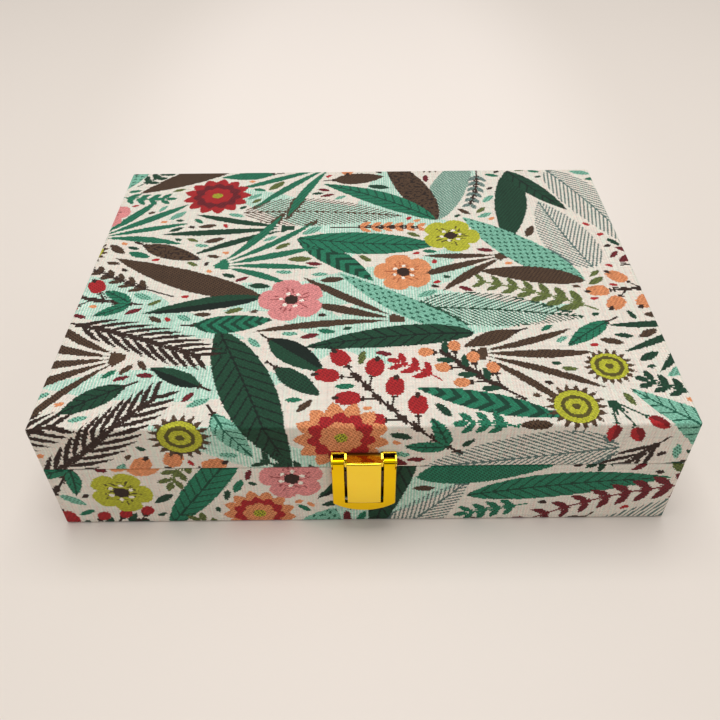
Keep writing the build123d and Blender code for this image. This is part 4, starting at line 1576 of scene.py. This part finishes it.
@dataclass
class BoxCloth:
    """The brocade on both halves of the box."""

    lid_cell: float = 0.95 * MM
    base_cell: float = 0.76 * MM
    corner_round: float = 1.2 * MM
    top_edge_round: float = 1.1 * MM
    rim_edge_round: float = 0.45 * MM
    rim_turn_in: float = 12.0 * MM
    rim_shows: float = 3.0 * MM
    floor_turn_in: float = 15.0 * MM
    floor_shows: float = 5.0 * MM
    crown_height: float = 0.35 * MM
    ripple_height: float = 0.07 * MM

    def crown(self, across: float, up: float) -> float:
        """How much the padded top stands up, with its slight unevenness."""
        pillow = (1 - across**4) * (1 - up**4)
        ripple = math.sin(9 * across + 2 * up) * math.sin(7 * up - 3 * across)
        ripple += math.sin(17 * across * up + 5 * up)
        return pillow * (self.crown_height + self.ripple_height * ripple)

    def wall(self) -> Place:
        """The width of the rim, from the cloth outside to the cloth inside, and the cloth's thickness."""
        cover, lining, board = (node_box(n)[0].x for n in ("lid_cover", "lid_wall_lining", "lid_left_wall"))
        return lining - cover, board - cover

    def lid(self, material: Material) -> Object:
        """Makes the lid's cloth.

        Args:
            material: The brocade.

        Returns:
            The cloth's object.
        """
        low, high = node_box("lid_cover")
        wall, cloth = self.wall()
        bottom, top, edge, bend = low.z, high.z, self.rim_edge_round, self.top_edge_round
        row = self.lid_cell
        path = Profile(bend, top).arc(bend, top - bend, bend, 90, 180, 5)
        path.line(0, bottom + edge, row).arc(edge, bottom + edge, edge, 180, 270, 2)
        path.line(wall - edge, bottom, row).arc(wall - edge, bottom + edge, edge, 270, 360, 2)
        path.line(wall, bottom + self.rim_shows, row).line(wall, bottom + self.rim_turn_in)
        outer = path.last
        path.line(wall - cloth, bottom + self.rim_turn_in).line(wall - cloth, bottom + cloth)
        path.line(cloth, bottom + cloth).line(cloth, top - bend)
        path.arc(bend, top - bend, bend - cloth, 180, 90, 3)
        shell = RingShell("lid_brocade", high.x, high.y, self.corner_round, path, row, crown=self.crown)
        cover = LidCloth(shell, outer, seed=11, back_scale=0.055)
        made = cover.build(material)
        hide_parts("lid_cover")
        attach(made, "lid")
        cover.flat_size()
        cover.flat_area()
        return made

    def base(self, material: Material) -> Object:
        """Makes the base's cloth.

        Args:
            material: The brocade.

        Returns:
            The cloth's object.
        """
        low, high = node_box("base_cover")
        wall, cloth = self.wall()
        bottom, top, edge, row = low.z, high.z, self.rim_edge_round, self.base_cell
        path = Profile(self.floor_turn_in, bottom).line(self.floor_shows, bottom).line(edge, bottom, row)
        path.arc(edge, bottom + edge, edge, 270, 180, 2).line(0, top - edge, row)
        path.arc(edge, top - edge, edge, 180, 90, 2).line(wall - edge, top, row)
        path.arc(wall - edge, top - edge, edge, 90, 0, 2).line(wall, top - self.rim_shows, row)
        path.line(wall, top - self.rim_turn_in)
        outer = path.last
        path.line(wall - cloth, top - self.rim_turn_in).line(wall - cloth, top - cloth)
        path.line(cloth, top - cloth).line(cloth, bottom + cloth).line(self.floor_turn_in, bottom + cloth)
        shell = RingShell("base_brocade", high.x, high.y, self.corner_round, path, row, capped=False)
        cover = BaseCloth(shell, outer, seed=5)
        made = cover.build(material)
        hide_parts("base_cover")
        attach(made, "base")
        cover.flat_size()
        return made


@dataclass
class Lining:
    """The satin inside: a lined wall round each half and a padded panel on the floor and under the lid."""

    cell: float = 3.0 * MM
    edge_round: float = 0.55 * MM
    outer_row: float = 4.0 * MM
    inner_row: float = 1.5 * MM
    panel_gap: float = 0.3 * MM
    pad_roll: float = 2.0 * MM
    pad_corner_round: float = 4.0 * MM
    pad_tuck: float = 0.3 * MM
    pad_tuck_height: float = 0.4 * MM
    pad_lap: float = 1.2 * MM
    floor_crown: float = 1.0 * MM
    lid_crown: float = 0.7 * MM
    pucker: float = 0.12 * MM
    pressure: float = 1.5
    slack: float = 0.012
    frames: int = 12
    steps_a_frame: int = 3
    weight: float = 0.15
    stretch_stiffness: float = 40.0
    bend_stiffness: float = 0.02
    glued_ring: int = 3
    most_swell: float = 0.9 * MM

    def wall_lining(self, half: str, material: Material) -> Object:
        """Makes the satin-covered card round the walls of one half.

        Args:
            half: Which half of the box, base or lid.
            material: The satin.

        Returns:
            The lining's object.
        """
        node = f"{half}_wall_lining"
        low, high = node_box(node)
        pad_low, _ = node_box("base_floor_pad" if half == "base" else "lid_panel_pad")
        thick = (pad_low.x - low.x) - self.panel_gap
        free, fixed = (high.z, low.z) if half == "base" else (low.z, high.z)
        way = 1 if half == "base" else -1
        turn = self.edge_round
        path = Profile(0, fixed).line(0, free - way * turn, self.outer_row)
        path.arc(turn, free - way * turn, turn, 180, 180 - way * 90, 3).line(thick - turn, free)
        path.arc(thick - turn, free - way * turn, turn, way * 90, 0, 3).line(thick, fixed, self.inner_row)
        shell = RingShell(f"{half}_satin_wall", high.x, high.y, 0.0, path, self.cell, capped=False)
        made = shell.build()
        self.dress(made, node, half, material)
        return made

    def panel(self, half: str, material: Material) -> Object:
        """Makes the padded panel of one half.

        Args:
            half: Which half of the box, base or lid.
            material: The satin.

        Returns:
            The panel's object.
        """
        node = "base_floor_pad" if half == "base" else "lid_panel_pad"
        low, high = node_box(node)
        way = 1 if half == "base" else -1
        back, face = (low.z, high.z) if half == "base" else (high.z, low.z)
        crown = self.floor_crown if half == "base" else self.lid_crown
        roll = self.pad_roll
        edge = face - way * crown
        outwards = 90 if way > 0 else 270
        path = Profile(roll, edge).arc(roll, edge - way * roll, roll, outwards, 180, 6)
        path.line(self.pad_tuck, back + way * self.pad_tuck_height).line(self.pad_lap, back)

        def swell(across: float, up: float) -> float:
            """How far the stuffing pushes the satin out, with shallow puckers along the edges."""
            pillow = (1 - across**6) * (1 - up**6)
            near = 1 - min(1.0, 8 * (1 - max(abs(across), abs(up))))
            pull = near * (math.sin(61 * across + 3 * up) + math.sin(53 * up - 4 * across))
            return way * (crown * pillow**0.7 - self.pucker * pull)

        name = f"{half}_satin_panel"
        shell = RingShell(name, high.x, high.y, self.pad_corner_round, path, self.cell, crown=swell)
        made = shell.build()
        self.stuff(made, way)
        self.dress(made, node, half, material)
        return made

    def stuff(self, made: Object, way: int) -> None:
        """Blows the satin up a little against its glued edge, with the cloth simulation, and keeps the shape.

        Args:
            made: The panel.
            way: 1 where it faces up and -1 where it faces down.
        """
        mesh = made.data
        start = read_all(mesh.vertices, "co", np.float32, 3).reshape(-1, 3)
        rings = read_all(mesh.attributes["ring"].data, "value", np.int32)
        held = made.vertex_groups.new(name="glued")
        held.add([int(i) for i in np.flatnonzero(rings >= self.glued_ring)], 1.0, "REPLACE")
        cloth = made.modifiers.new("stuffing", "CLOTH")
        settings = cloth.settings
        settings.quality = self.steps_a_frame
        settings.mass = self.weight
        settings.use_pressure = True
        settings.uniform_pressure_force = self.pressure
        settings.shrink_min = -self.slack
        settings.tension_stiffness = settings.compression_stiffness = self.stretch_stiffness
        settings.bending_stiffness = self.bend_stiffness
        settings.vertex_group_mass = held.name
        settings.effector_weights.gravity = 0.0
        scene = bpy.context.scene
        for number in range(1, self.frames + 1):
            scene.frame_set(number)
        settled = made.evaluated_get(bpy.context.evaluated_depsgraph_get()).data
        moved = read_all(settled.vertices, "co", np.float32, 3).reshape(-1, 3) - start
        far = np.linalg.norm(moved, axis=1, keepdims=True)
        LOG.info("%s: stuffing moves it up to %.2f mm", made.name, float(far.max()) / MM)
        moved *= np.minimum(1.0, self.most_swell / np.maximum(far, 1e-9))
        room = start[:, 2] + way * self.most_swell
        place = start + moved
        place[:, 2] = np.minimum(place[:, 2], room) if way > 0 else np.maximum(place[:, 2], room)
        made.modifiers.remove(cloth)
        made.vertex_groups.remove(held)
        mesh.vertices.foreach_set("co", place.ravel())
        mesh.update()
        scene.frame_set(1)

    @staticmethod
    def dress(made: Object, node: str, half: str, material: Material) -> None:
        """Gives a lining piece its material and its body, and hides the node that it stands for."""
        for name in ("across", "up", "ring"):
            made.data.attributes.remove(made.data.attributes[name])
        made.data.materials.append(material)
        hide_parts(node)
        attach(made, half)


@dataclass
class Padding:
    """The thin wadding between the lid's board and its cloth."""

    cell: float = 3.0 * MM
    corner_round: float = 0.6 * MM
    edge_round: float = 0.5 * MM
    loft: float = 0.05 * MM

    def build(self, material: Material) -> Object:
        """Makes the wadding.

        Args:
            material: The wadding's material.

        Returns:
            The wadding's object.
        """
        low, high = node_box("lid_wadding")
        bend, top = min(self.edge_round, high.z - low.z), high.z - self.loft

        def sag(across: float, up: float) -> float:
            """The uneven loft of the fibres, downwards, so that the cloth above stays clear."""
            return -self.loft * (1 + math.sin(23 * across) * math.sin(19 * up))

        path = Profile(bend, top).arc(bend, top - bend, bend - self.loft, 90, 180, 4)
        path.line(self.loft, low.z)
        shell = RingShell("lid_padding", high.x, high.y, self.corner_round, path, self.cell, crown=sag)
        made = shell.build()
        Lining.dress(made, "lid_wadding", "lid", material)
        return made


class Ladder:
    """Makes closed pieces of bent sheet metal from rows of points: millimetres across, out and up."""

    rounding_segments = 3
    sharp_degrees = 38
    def __init__(self, name: str) -> None:
        """Starts an empty piece."""
        self.name = name
        self.bm = bmesh.new()
        self.slot = self.bm.verts.layers.int.new("slot")

    def add(self, rows: Sequence[Sequence[Triple]]) -> None:
        """Adds one closed solid.

        Args:
            rows: The rows round the sheet's section. Each has the same number of points along the sheet.
        """
        verts = [self.bm.verts.new(point) for point in rows[0]]
        for number, vert in enumerate(verts):
            vert[self.slot] = number
        first = [self.bm.edges.new(pair) for pair in zip(verts, verts[1:])]
        edges = first
        for row in rows[1:]:
            made = bmesh.ops.extrude_edge_only(self.bm, edges=edges)["geom"]
            edges = [item for item in made if isinstance(item, bmesh.types.BMEdge)]
            for vert in (item for item in made if isinstance(item, bmesh.types.BMVert)):
                vert.co = row[vert[self.slot]]
        bmesh.ops.bridge_loops(self.bm, edges=first + edges)
        open_edges = [edge for edge in self.bm.edges if edge.is_boundary]
        bmesh.ops.holes_fill(self.bm, edges=open_edges)

    def finish(self, front: float, seam: float, bevel: float) -> Object:
        """Places the piece on the front of the box and rounds its cut edges.

        Args:
            front: Where the front of the cloth is.
            seam: The height of the seam between the halves.
            bevel: How wide the rounding is, in millimetres.

        Returns:
            The piece's object.
        """
        for vert in self.bm.verts:
            x, out, height = vert.co
            vert.co = (x * MM, front - out * MM, seam + height * MM)
        bmesh.ops.recalc_face_normals(self.bm, faces=self.bm.faces)
        made = release(self.bm, self.name)
        made.data.attributes.remove(made.data.attributes["slot"])
        rounding = made.modifiers.new("rounding", "BEVEL")
        rounding.width = bevel * MM
        rounding.segments = self.rounding_segments
        rounding.limit_method = "ANGLE"
        rounding.angle_limit = math.radians(self.sharp_degrees)
        normals = made.modifiers.new("flat faces", "WEIGHTED_NORMAL")
        normals.keep_sharp = True
        return made


@dataclass
class Clasp:
    """The gilt clasp: a flap that hangs from the lid and drops over the keeper's tongue.

    Its sizes are millimetres: across, out from the front of the cloth, and up from the seam.
    """

    half_width: float = 12.6
    sheet: float = 0.95
    plate: float = 0.8
    cut_bevel: float = 0.17
    rail_out: float = 4.9
    rail_inside: float = 7.7
    rail_edge_round: float = 0.5
    flap_shoulder: float = 4.3
    flap_window_bottom: float = -16.8
    flap_window_round: float = 0.4
    flap_corner_round: float = 1.2
    flap_corner: float = -17.3
    flap_bottom: float = -21.9
    flange_back: float = 1.0
    barrel_outside: float = 12.0
    pin_out: float = 3.0
    pin_height: float = 6.6
    ear_top: float = 9.4
    curl_step: float = 0.012
    barrel_round: float = 1.9
    curl_end: float = 285.0
    tongue_half: float = 6.6
    tongue_out: float = 5.9
    tongue_top: float = 8.3
    tongue_bottom: float = -16.2
    tongue_bend: float = 1.1
    tongue_lip: float = 0.7
    tongue_belly: float = 0.22
    wing_half: float = 10.8
    wing_top: float = -1.5
    wing_bottom: float = -17.6
    plate_bottom: float = 1.0
    cheek: float = 0.5
    ear_bend: float = 0.5
    hood_half: float = 7.45
    hood_cheek: float = 0.75
    hood_out: float = 4.85
    hood_back: float = 8.7
    hood_belly: float = 0.06
    ear_rim_round: float = 0.38
    seam_step: float = 0.02

    def __post_init__(self) -> None:
        """Works out where the clasp sits from the cloth that it is nailed to."""
        self.front, self.seam = clasp_place()

    def build(self, plate_gold: Material, flap_gold: Material) -> None:
        """Makes the three sheet-metal pieces of the clasp."""
        for made, node, body, material in (
            (self.flap(), "latch_hasp", "hasp", flap_gold),
            (self.keeper(), "latch_keeper", "base", plate_gold),
            (self.lid_plate(), "latch_lid_plate", "lid", plate_gold),
        ):
            made.data.materials.append(material)
            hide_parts(node)
            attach(made, body)
            LOG.info("%s rides on %s", made.name, body)

    def mirrored(self, half: list[Place]) -> list[Place]:
        """A line of the right half, from the top of the rail to the middle, followed by its mirror image."""
        return half[:-1] + [(0.0, half[-1][1])] + [(-x, z) for x, z in reversed(half[:-1])]

    def outline(self, inset: float) -> list[Place]:
        """The flap's outer edge, moved inwards by an inset."""
        half, drop = self.half_width, self.flap_corner - self.flap_bottom
        sweep = (half**2 + drop**2) / (2 * drop)
        middle = self.flap_bottom + sweep
        reach = sweep - self.flap_corner_round
        turn_x = half - self.flap_corner_round
        turn_z = middle - math.sqrt(reach**2 - turn_x**2)
        steep = math.atan2(turn_z - middle, turn_x)
        line = [(half - inset, z) for z in np.linspace(self.flap_shoulder, turn_z, 7)]
        for angle in np.linspace(0, steep, 5)[1:]:
            radius = self.flap_corner_round - inset
            line.append((turn_x + radius * math.cos(angle), turn_z + radius * math.sin(angle)))
        for angle in np.linspace(steep, -math.pi / 2, 11)[1:]:
            line.append(((sweep - inset) * math.cos(angle), middle + (sweep - inset) * math.sin(angle)))
        return self.mirrored(line)

    def window(self) -> list[Place]:
        """The flap's inner edge, with as many points as its outer one."""
        turn = self.flap_window_round
        turn_x, turn_z = self.rail_inside - turn, self.flap_window_bottom + turn
        line = [(self.rail_inside, z) for z in np.linspace(self.flap_shoulder, turn_z, 7)]
        for angle in np.linspace(0, -math.pi / 2, 5)[1:]:
            line.append((turn_x + turn * math.cos(angle), turn_z + turn * math.sin(angle)))
        line += [(x, self.flap_window_bottom) for x in np.linspace(turn_x, 0, 11)[1:]]
        return self.mirrored(line)

    def flap(self) -> Object:
        """Makes the flap: two rails and a round bottom, with turned-back edges, curled round the pin."""
        ladder = Ladder("clasp_flap")
        turn = self.rail_edge_round
        levels = [(self.window(), self.rail_out)]
        for angle in np.linspace(0, math.pi / 2, 5):
            inset = turn * (1 - math.sin(angle))
            levels.append((self.outline(inset), self.rail_out - turn * (1 - math.cos(angle))))
        back = self.rail_out - self.sheet
        levels.append((self.outline(0.0), self.flange_back))
        levels.append((self.outline(self.plate), self.flange_back))
        levels += [(self.outline(self.plate), back), (self.window(), back)]
        ladder.add([[(x, out, z) for x, z in line] for line, out in levels])
        hole = self.barrel_round - self.sheet
        start, level = self.flap_shoulder - 2 * self.cut_bevel, self.rail_out - self.curl_step
        curl = Profile(level, start).line(level, self.pin_height)
        curl.arc(self.pin_out, self.pin_height, self.barrel_round, 0, self.curl_end, 24)
        inner = Profile(back, start).line(back, self.pin_height)
        inner.arc(self.pin_out, self.pin_height, hole, 0, self.curl_end, 24)
        section = list(zip(curl.insets, curl.heights)) + list(zip(inner.insets, inner.heights))[::-1]
        for side in (-1, 1):
            xs = np.linspace(self.rail_inside, self.barrel_outside, 3) * side
            ladder.add([[(x, out, z) for x in xs] for out, z in section])
        return ladder.finish(self.front, self.seam, self.cut_bevel)

    def keeper(self) -> Object:
        """Makes the keeper: a plate with two wings, bent out under the flap and up into the tongue."""
        ladder = Ladder("clasp_keeper")
        bend, lip, out, bottom = self.tongue_bend, self.tongue_lip, self.tongue_out, self.tongue_bottom
        path = Profile(0, self.wing_top).line(0, bottom + bend)
        path.arc(bend, bottom + bend, bend, 180, 270, 5).line(out - bend, bottom)
        path.arc(out - bend, bottom + bend, bend, 270, 360, 5).line(out, self.tongue_top - lip, 4.0)
        path.arc(out - lip, self.tongue_top - lip, lip, 0, 90, 5)
        inside, fold = out - self.plate, bend - self.plate
        path.line(inside, self.tongue_top).line(inside, bottom + bend, 4.0)
        path.arc(out - bend, bottom + bend, fold, 360, 270, 3).line(bend, bottom + self.plate)
        path.arc(bend, bottom + bend, fold, 270, 180, 3).line(self.plate, self.wing_top)
        xs = np.linspace(-self.tongue_half, self.tongue_half, 13)
        rows = []
        for place, height in zip(path.insets, path.heights):
            belly = self.tongue_belly if place > inside + 0.01 else 0.0
            rows.append([(x, place - belly * (x / self.tongue_half) ** 2, height) for x in xs])
        ladder.add(rows)
        for side in (-1, 1):
            xs = np.array([self.tongue_half, self.wing_half]) * side
            top, bottom, plate = self.wing_top, self.wing_bottom, self.plate
            corners = ((0, top), (0, bottom), (plate, bottom), (plate, top))
            ladder.add([[(x, place, height) for x in xs] for place, height in corners])
        return ladder.finish(self.front, self.seam, self.cut_bevel)

    def lid_plate(self) -> Object:
        """Makes the lid's plate: an ear at each end that holds the pin, and a lower hood between them."""
        ladder = Ladder("clasp_lid_plate")
        half, bend, plate, rim = self.half_width, self.ear_bend, self.plate, self.ear_rim_round
        climb = np.radians(np.linspace(-90, 90, 17))
        roll = np.radians(np.linspace(0, 90, 5))
        rim_levels = self.ear_top - rim + rim * np.sin(roll)
        rim_fronts = plate - rim + rim * np.cos(roll)
        round_levels = self.pin_height + self.barrel_round * np.sin(climb)
        round_fronts = self.pin_out + self.barrel_round * np.cos(climb)
        levels = np.concatenate([round_levels, [self.ear_slope(plate)], rim_levels])
        fronts = np.concatenate([round_fronts, [plate + self.seam_step], rim_fronts])
        flat = np.minimum(fronts, plate)
        inside = self.hood_half - self.hood_cheek
        ring = []
        for angle in np.linspace(0, math.pi / 2, 5):
            fold = np.minimum(flat, bend - bend * math.cos(angle))
            ring.append((half - bend + bend * math.sin(angle), fold))
        ring += [(half, fronts), (half - self.cheek, fronts), (half - self.cheek, flat), (inside, flat)]
        ring.append((inside, np.zeros(len(levels))))
        for side in (-1, 1):
            ladder.add([[(side * x, out, z) for out, z in zip(outs, levels)] for x, outs in ring])
        foot, under_hood = self.pin_height - self.barrel_round, self.hood_back - self.plate
        for reach, low, high in ((half, self.plate_bottom, foot), (inside, foot, under_hood)):
            corners = ((0, high), (0, low), (plate, low), (plate, high))
            ladder.add([[(x, out, z) for x in (-reach, reach)] for out, z in corners])
        ladder.add(self.hood_rows())
        return ladder.finish(self.front, self.seam, self.cut_bevel)

    def ear_slope(self, out: float) -> float:
        """How high an ear's cheek stands at a place out from the cloth, behind the pin."""
        top = self.pin_height + self.barrel_round
        return self.ear_top + (top - self.ear_top) * min(out / self.pin_out, 1.0)

    def hood_rows(self) -> list[list[Triple]]:
        """The rows of the section of the hood and its two cheeks, each running out from the cloth."""
        outs = [0.0, self.plate, self.plate + self.seam_step, 2.0, self.pin_out]
        lows = [self.pin_height - self.barrel_round] * len(outs)
        cheeks = [self.ear_top, self.ear_top] + [self.ear_slope(out) for out in outs[2:]]
        last = math.acos((self.hood_out - self.pin_out) / self.barrel_round)
        for angle in np.linspace(math.pi / 2, last, 7)[1:]:
            outs.append(self.pin_out + self.barrel_round * math.cos(angle))
            lows.append(self.pin_height - self.barrel_round * math.sin(angle))
            cheeks.append(self.pin_height + self.barrel_round * math.sin(angle))
        slope = (self.hood_back - self.tongue_top) / self.hood_out
        tops = [self.hood_back - slope * out for out in outs]
        cheeks = [max(pair) for pair in zip(cheeks, tops)]
        half, inside = self.hood_half, self.hood_half - self.hood_cheek
        section = [(half, lows), (half, cheeks), (inside, cheeks)]
        for x in np.linspace(inside, 0, 7):
            belly = self.hood_belly * (1 - (x / inside) ** 2)
            section.append((x, [top + belly for top in tops]))
        section += [(-x, heights) for x, heights in reversed(section[:-1])]
        under = [top - self.plate for top in tops]
        section += [(-inside, lows), (-inside, under), (inside, under), (inside, lows)]
        return [[(x, out, height) for out, height in zip(outs, heights)] for x, heights in section]


class Carcass:
    """The boards, the card and the metal whose shapes come from the frame."""

    BOARDS = [f"{half}_{side}_wall" for half, side in product(("base", "lid"), SIDES)]

    def dress(self, finishes: Finishes) -> None:
        """Gives each node that is kept its finish."""
        worn = {name: finishes.board for name in [*self.BOARDS, "base_floor_board", "lid_top_board"]}
        worn["base_underside_panel"] = finishes.paper
        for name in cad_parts:
            if name.startswith("hinge_"):
                worn[name] = finishes.brass
            elif name in ("latch_pin", "latch_keeper_nails", "latch_lid_nails"):
                worn[name] = finishes.gold
        for name, material in worn.items():
            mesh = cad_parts[name].data
            mesh.materials.clear()
            mesh.materials.append(material)
            LOG.info("%s wears %s", name, material.name)


@dataclass
class Studio:
    """The camera, the lamps and the pale floor."""

    camera_place: Triple = (-0.00064, -0.28509, 0.26923)
    focal_pixels: float = 754.8
    frame_pixels: float = 720.0
    pitch: float = math.radians(42.937)
    yaw: float = math.radians(0.1206)
    roll: float = math.radians(-0.6741)
    sensor: float = 36.0
    floor_half: float = 3.0
    floor_colour: Colour = (236, 227, 219)
    # The floor's painted light falloff: the darker colour far out, where the fade starts and ends, and its
    # stretch and middle.
    floor_painted_shade: Colour = (224, 215, 206)
    floor_light_falloff: Place = (0.1, 0.235)
    floor_stretch: Triple = (1.0, 0.35, 1.0)
    floor_middle: Triple = (0.0, -0.105, 0.0)
    lamp_place: Triple = (0.0, 0.12, 1.2)
    lamp_size: float = 0.75
    lamp_power: float = 8.4
    world_colour: Colour = (255, 252, 249)
    world_strength: float = 0.6
    dark_band: float = 0.1
    dark_band_ends: Place = (0.35, 0.6)

    def build(self) -> None:
        """Sets up the whole studio."""
        scene = bpy.context.scene
        scene.view_settings.view_transform = "Standard"
        self.camera(scene)
        self.floor()
        self.lamp(scene)
        self.world(scene)

    def camera(self, scene: bpy.types.Scene) -> None:
        """Puts the camera where the photograph was taken."""
        data = bpy.data.cameras.new("camera")
        data.sensor_width = self.sensor
        data.lens = self.sensor * self.focal_pixels / self.frame_pixels
        data.clip_start = 0.01
        made = bpy.data.objects.new("camera", data)
        scene.collection.objects.link(made)
        turned = Matrix.Rotation(math.pi / 2 - self.pitch, 4, "X") @ Matrix.Rotation(self.roll, 4, "Z")
        made.matrix_world = Matrix.Translation(self.camera_place) @ Matrix.Rotation(self.yaw, 4, "Z") @ turned
        scene.camera = made

    def floor(self) -> None:
        """Makes the floor, which goes on past everything the camera sees, and whose colour darkens away from
        one spot in a painted falloff of light.
        """
        bm = bmesh.new()
        bmesh.ops.create_grid(bm, x_segments=8, y_segments=8, size=self.floor_half)
        made = release(bm, "floor")
        material, graph, shader = new_material("pale_floor")
        # Painted light: the floor darkens smoothly away from one spot, more slowly front to back than side to
        # side.
        drawn = graph.stretched(graph.place(), self.floor_stretch, self.floor_middle)
        away = graph.node("VectorMath", {0: drawn}, operation="LENGTH").outputs["Value"]
        near, far = self.floor_light_falloff
        light_falloff = graph.node("MapRange", {0: away, 1: near, 2: far}, interpolation_type="SMOOTHSTEP").outputs[0]
        tone = graph.tint(light_falloff, linear(*self.floor_colour), linear(*self.floor_painted_shade))
        graph.feed(shader.inputs["Base Color"], tone)
        shader.inputs["Roughness"].default_value = 0.9
        made.data.materials.append(material)

    def lamp(self, scene: bpy.types.Scene) -> None:
        """Hangs a square soft lamp over the box and points it at it."""
        data = bpy.data.lights.new("overhead", "AREA")
        data.shape = "SQUARE"
        data.size = self.lamp_size
        data.energy = self.lamp_power
        made = bpy.data.objects.new("overhead", data)
        made.location = self.lamp_place
        made.rotation_mode = "QUATERNION"
        made.rotation_quaternion = (-Vector(self.lamp_place)).to_track_quat("-Z", "Y")
        scene.collection.objects.link(made)

    def world(self, scene: bpy.types.Scene) -> None:
        """Lights the whole scene evenly, with a darker room low down for the metal to mirror."""
        world = bpy.data.worlds.new("studio")
        world.use_nodes = True
        graph = Graph(world.node_tree)
        background = world.node_tree.nodes["Background"]
        graph.feed(background.inputs["Color"], linear(*self.world_colour))
        height = graph.parts(graph.node("TexCoord").outputs["Generated"])[2]
        low, high = self.dark_band_ends
        room = graph.node("MapRange", {0: height, 1: low, 2: high, 3: self.dark_band, 4: 1.0}).outputs[0]
        mirrored = graph.node("LightPath").outputs["Is Glossy Ray"]
        dimmed = graph.math("MULTIPLY", room, self.world_strength)
        graph.feed(background.inputs["Strength"], graph.between(mirrored, self.world_strength, dimmed))
        scene.world = world


def main() -> None:
    """Builds the box's sub-assemblies in order."""
    logging.basicConfig(level=logging.INFO, format="%(message)s")
    finishes = Finishes()
    Carcass().dress(finishes)
    Padding().build(finishes.wadding)
    lining = Lining()
    for half in ("base", "lid"):
        lining.wall_lining(half, finishes.satin)
        lining.panel(half, finishes.satin)
    cloth = BoxCloth()
    for piece in (cloth.base(finishes.brocade), cloth.lid(finishes.brocade)):
        LOG.info("%s: %d faces", piece.name, len(piece.data.polygons))
    Clasp().build(finishes.gold, finishes.flap_gold)
    Studio().build()


if __name__ == "__main__":
    main()
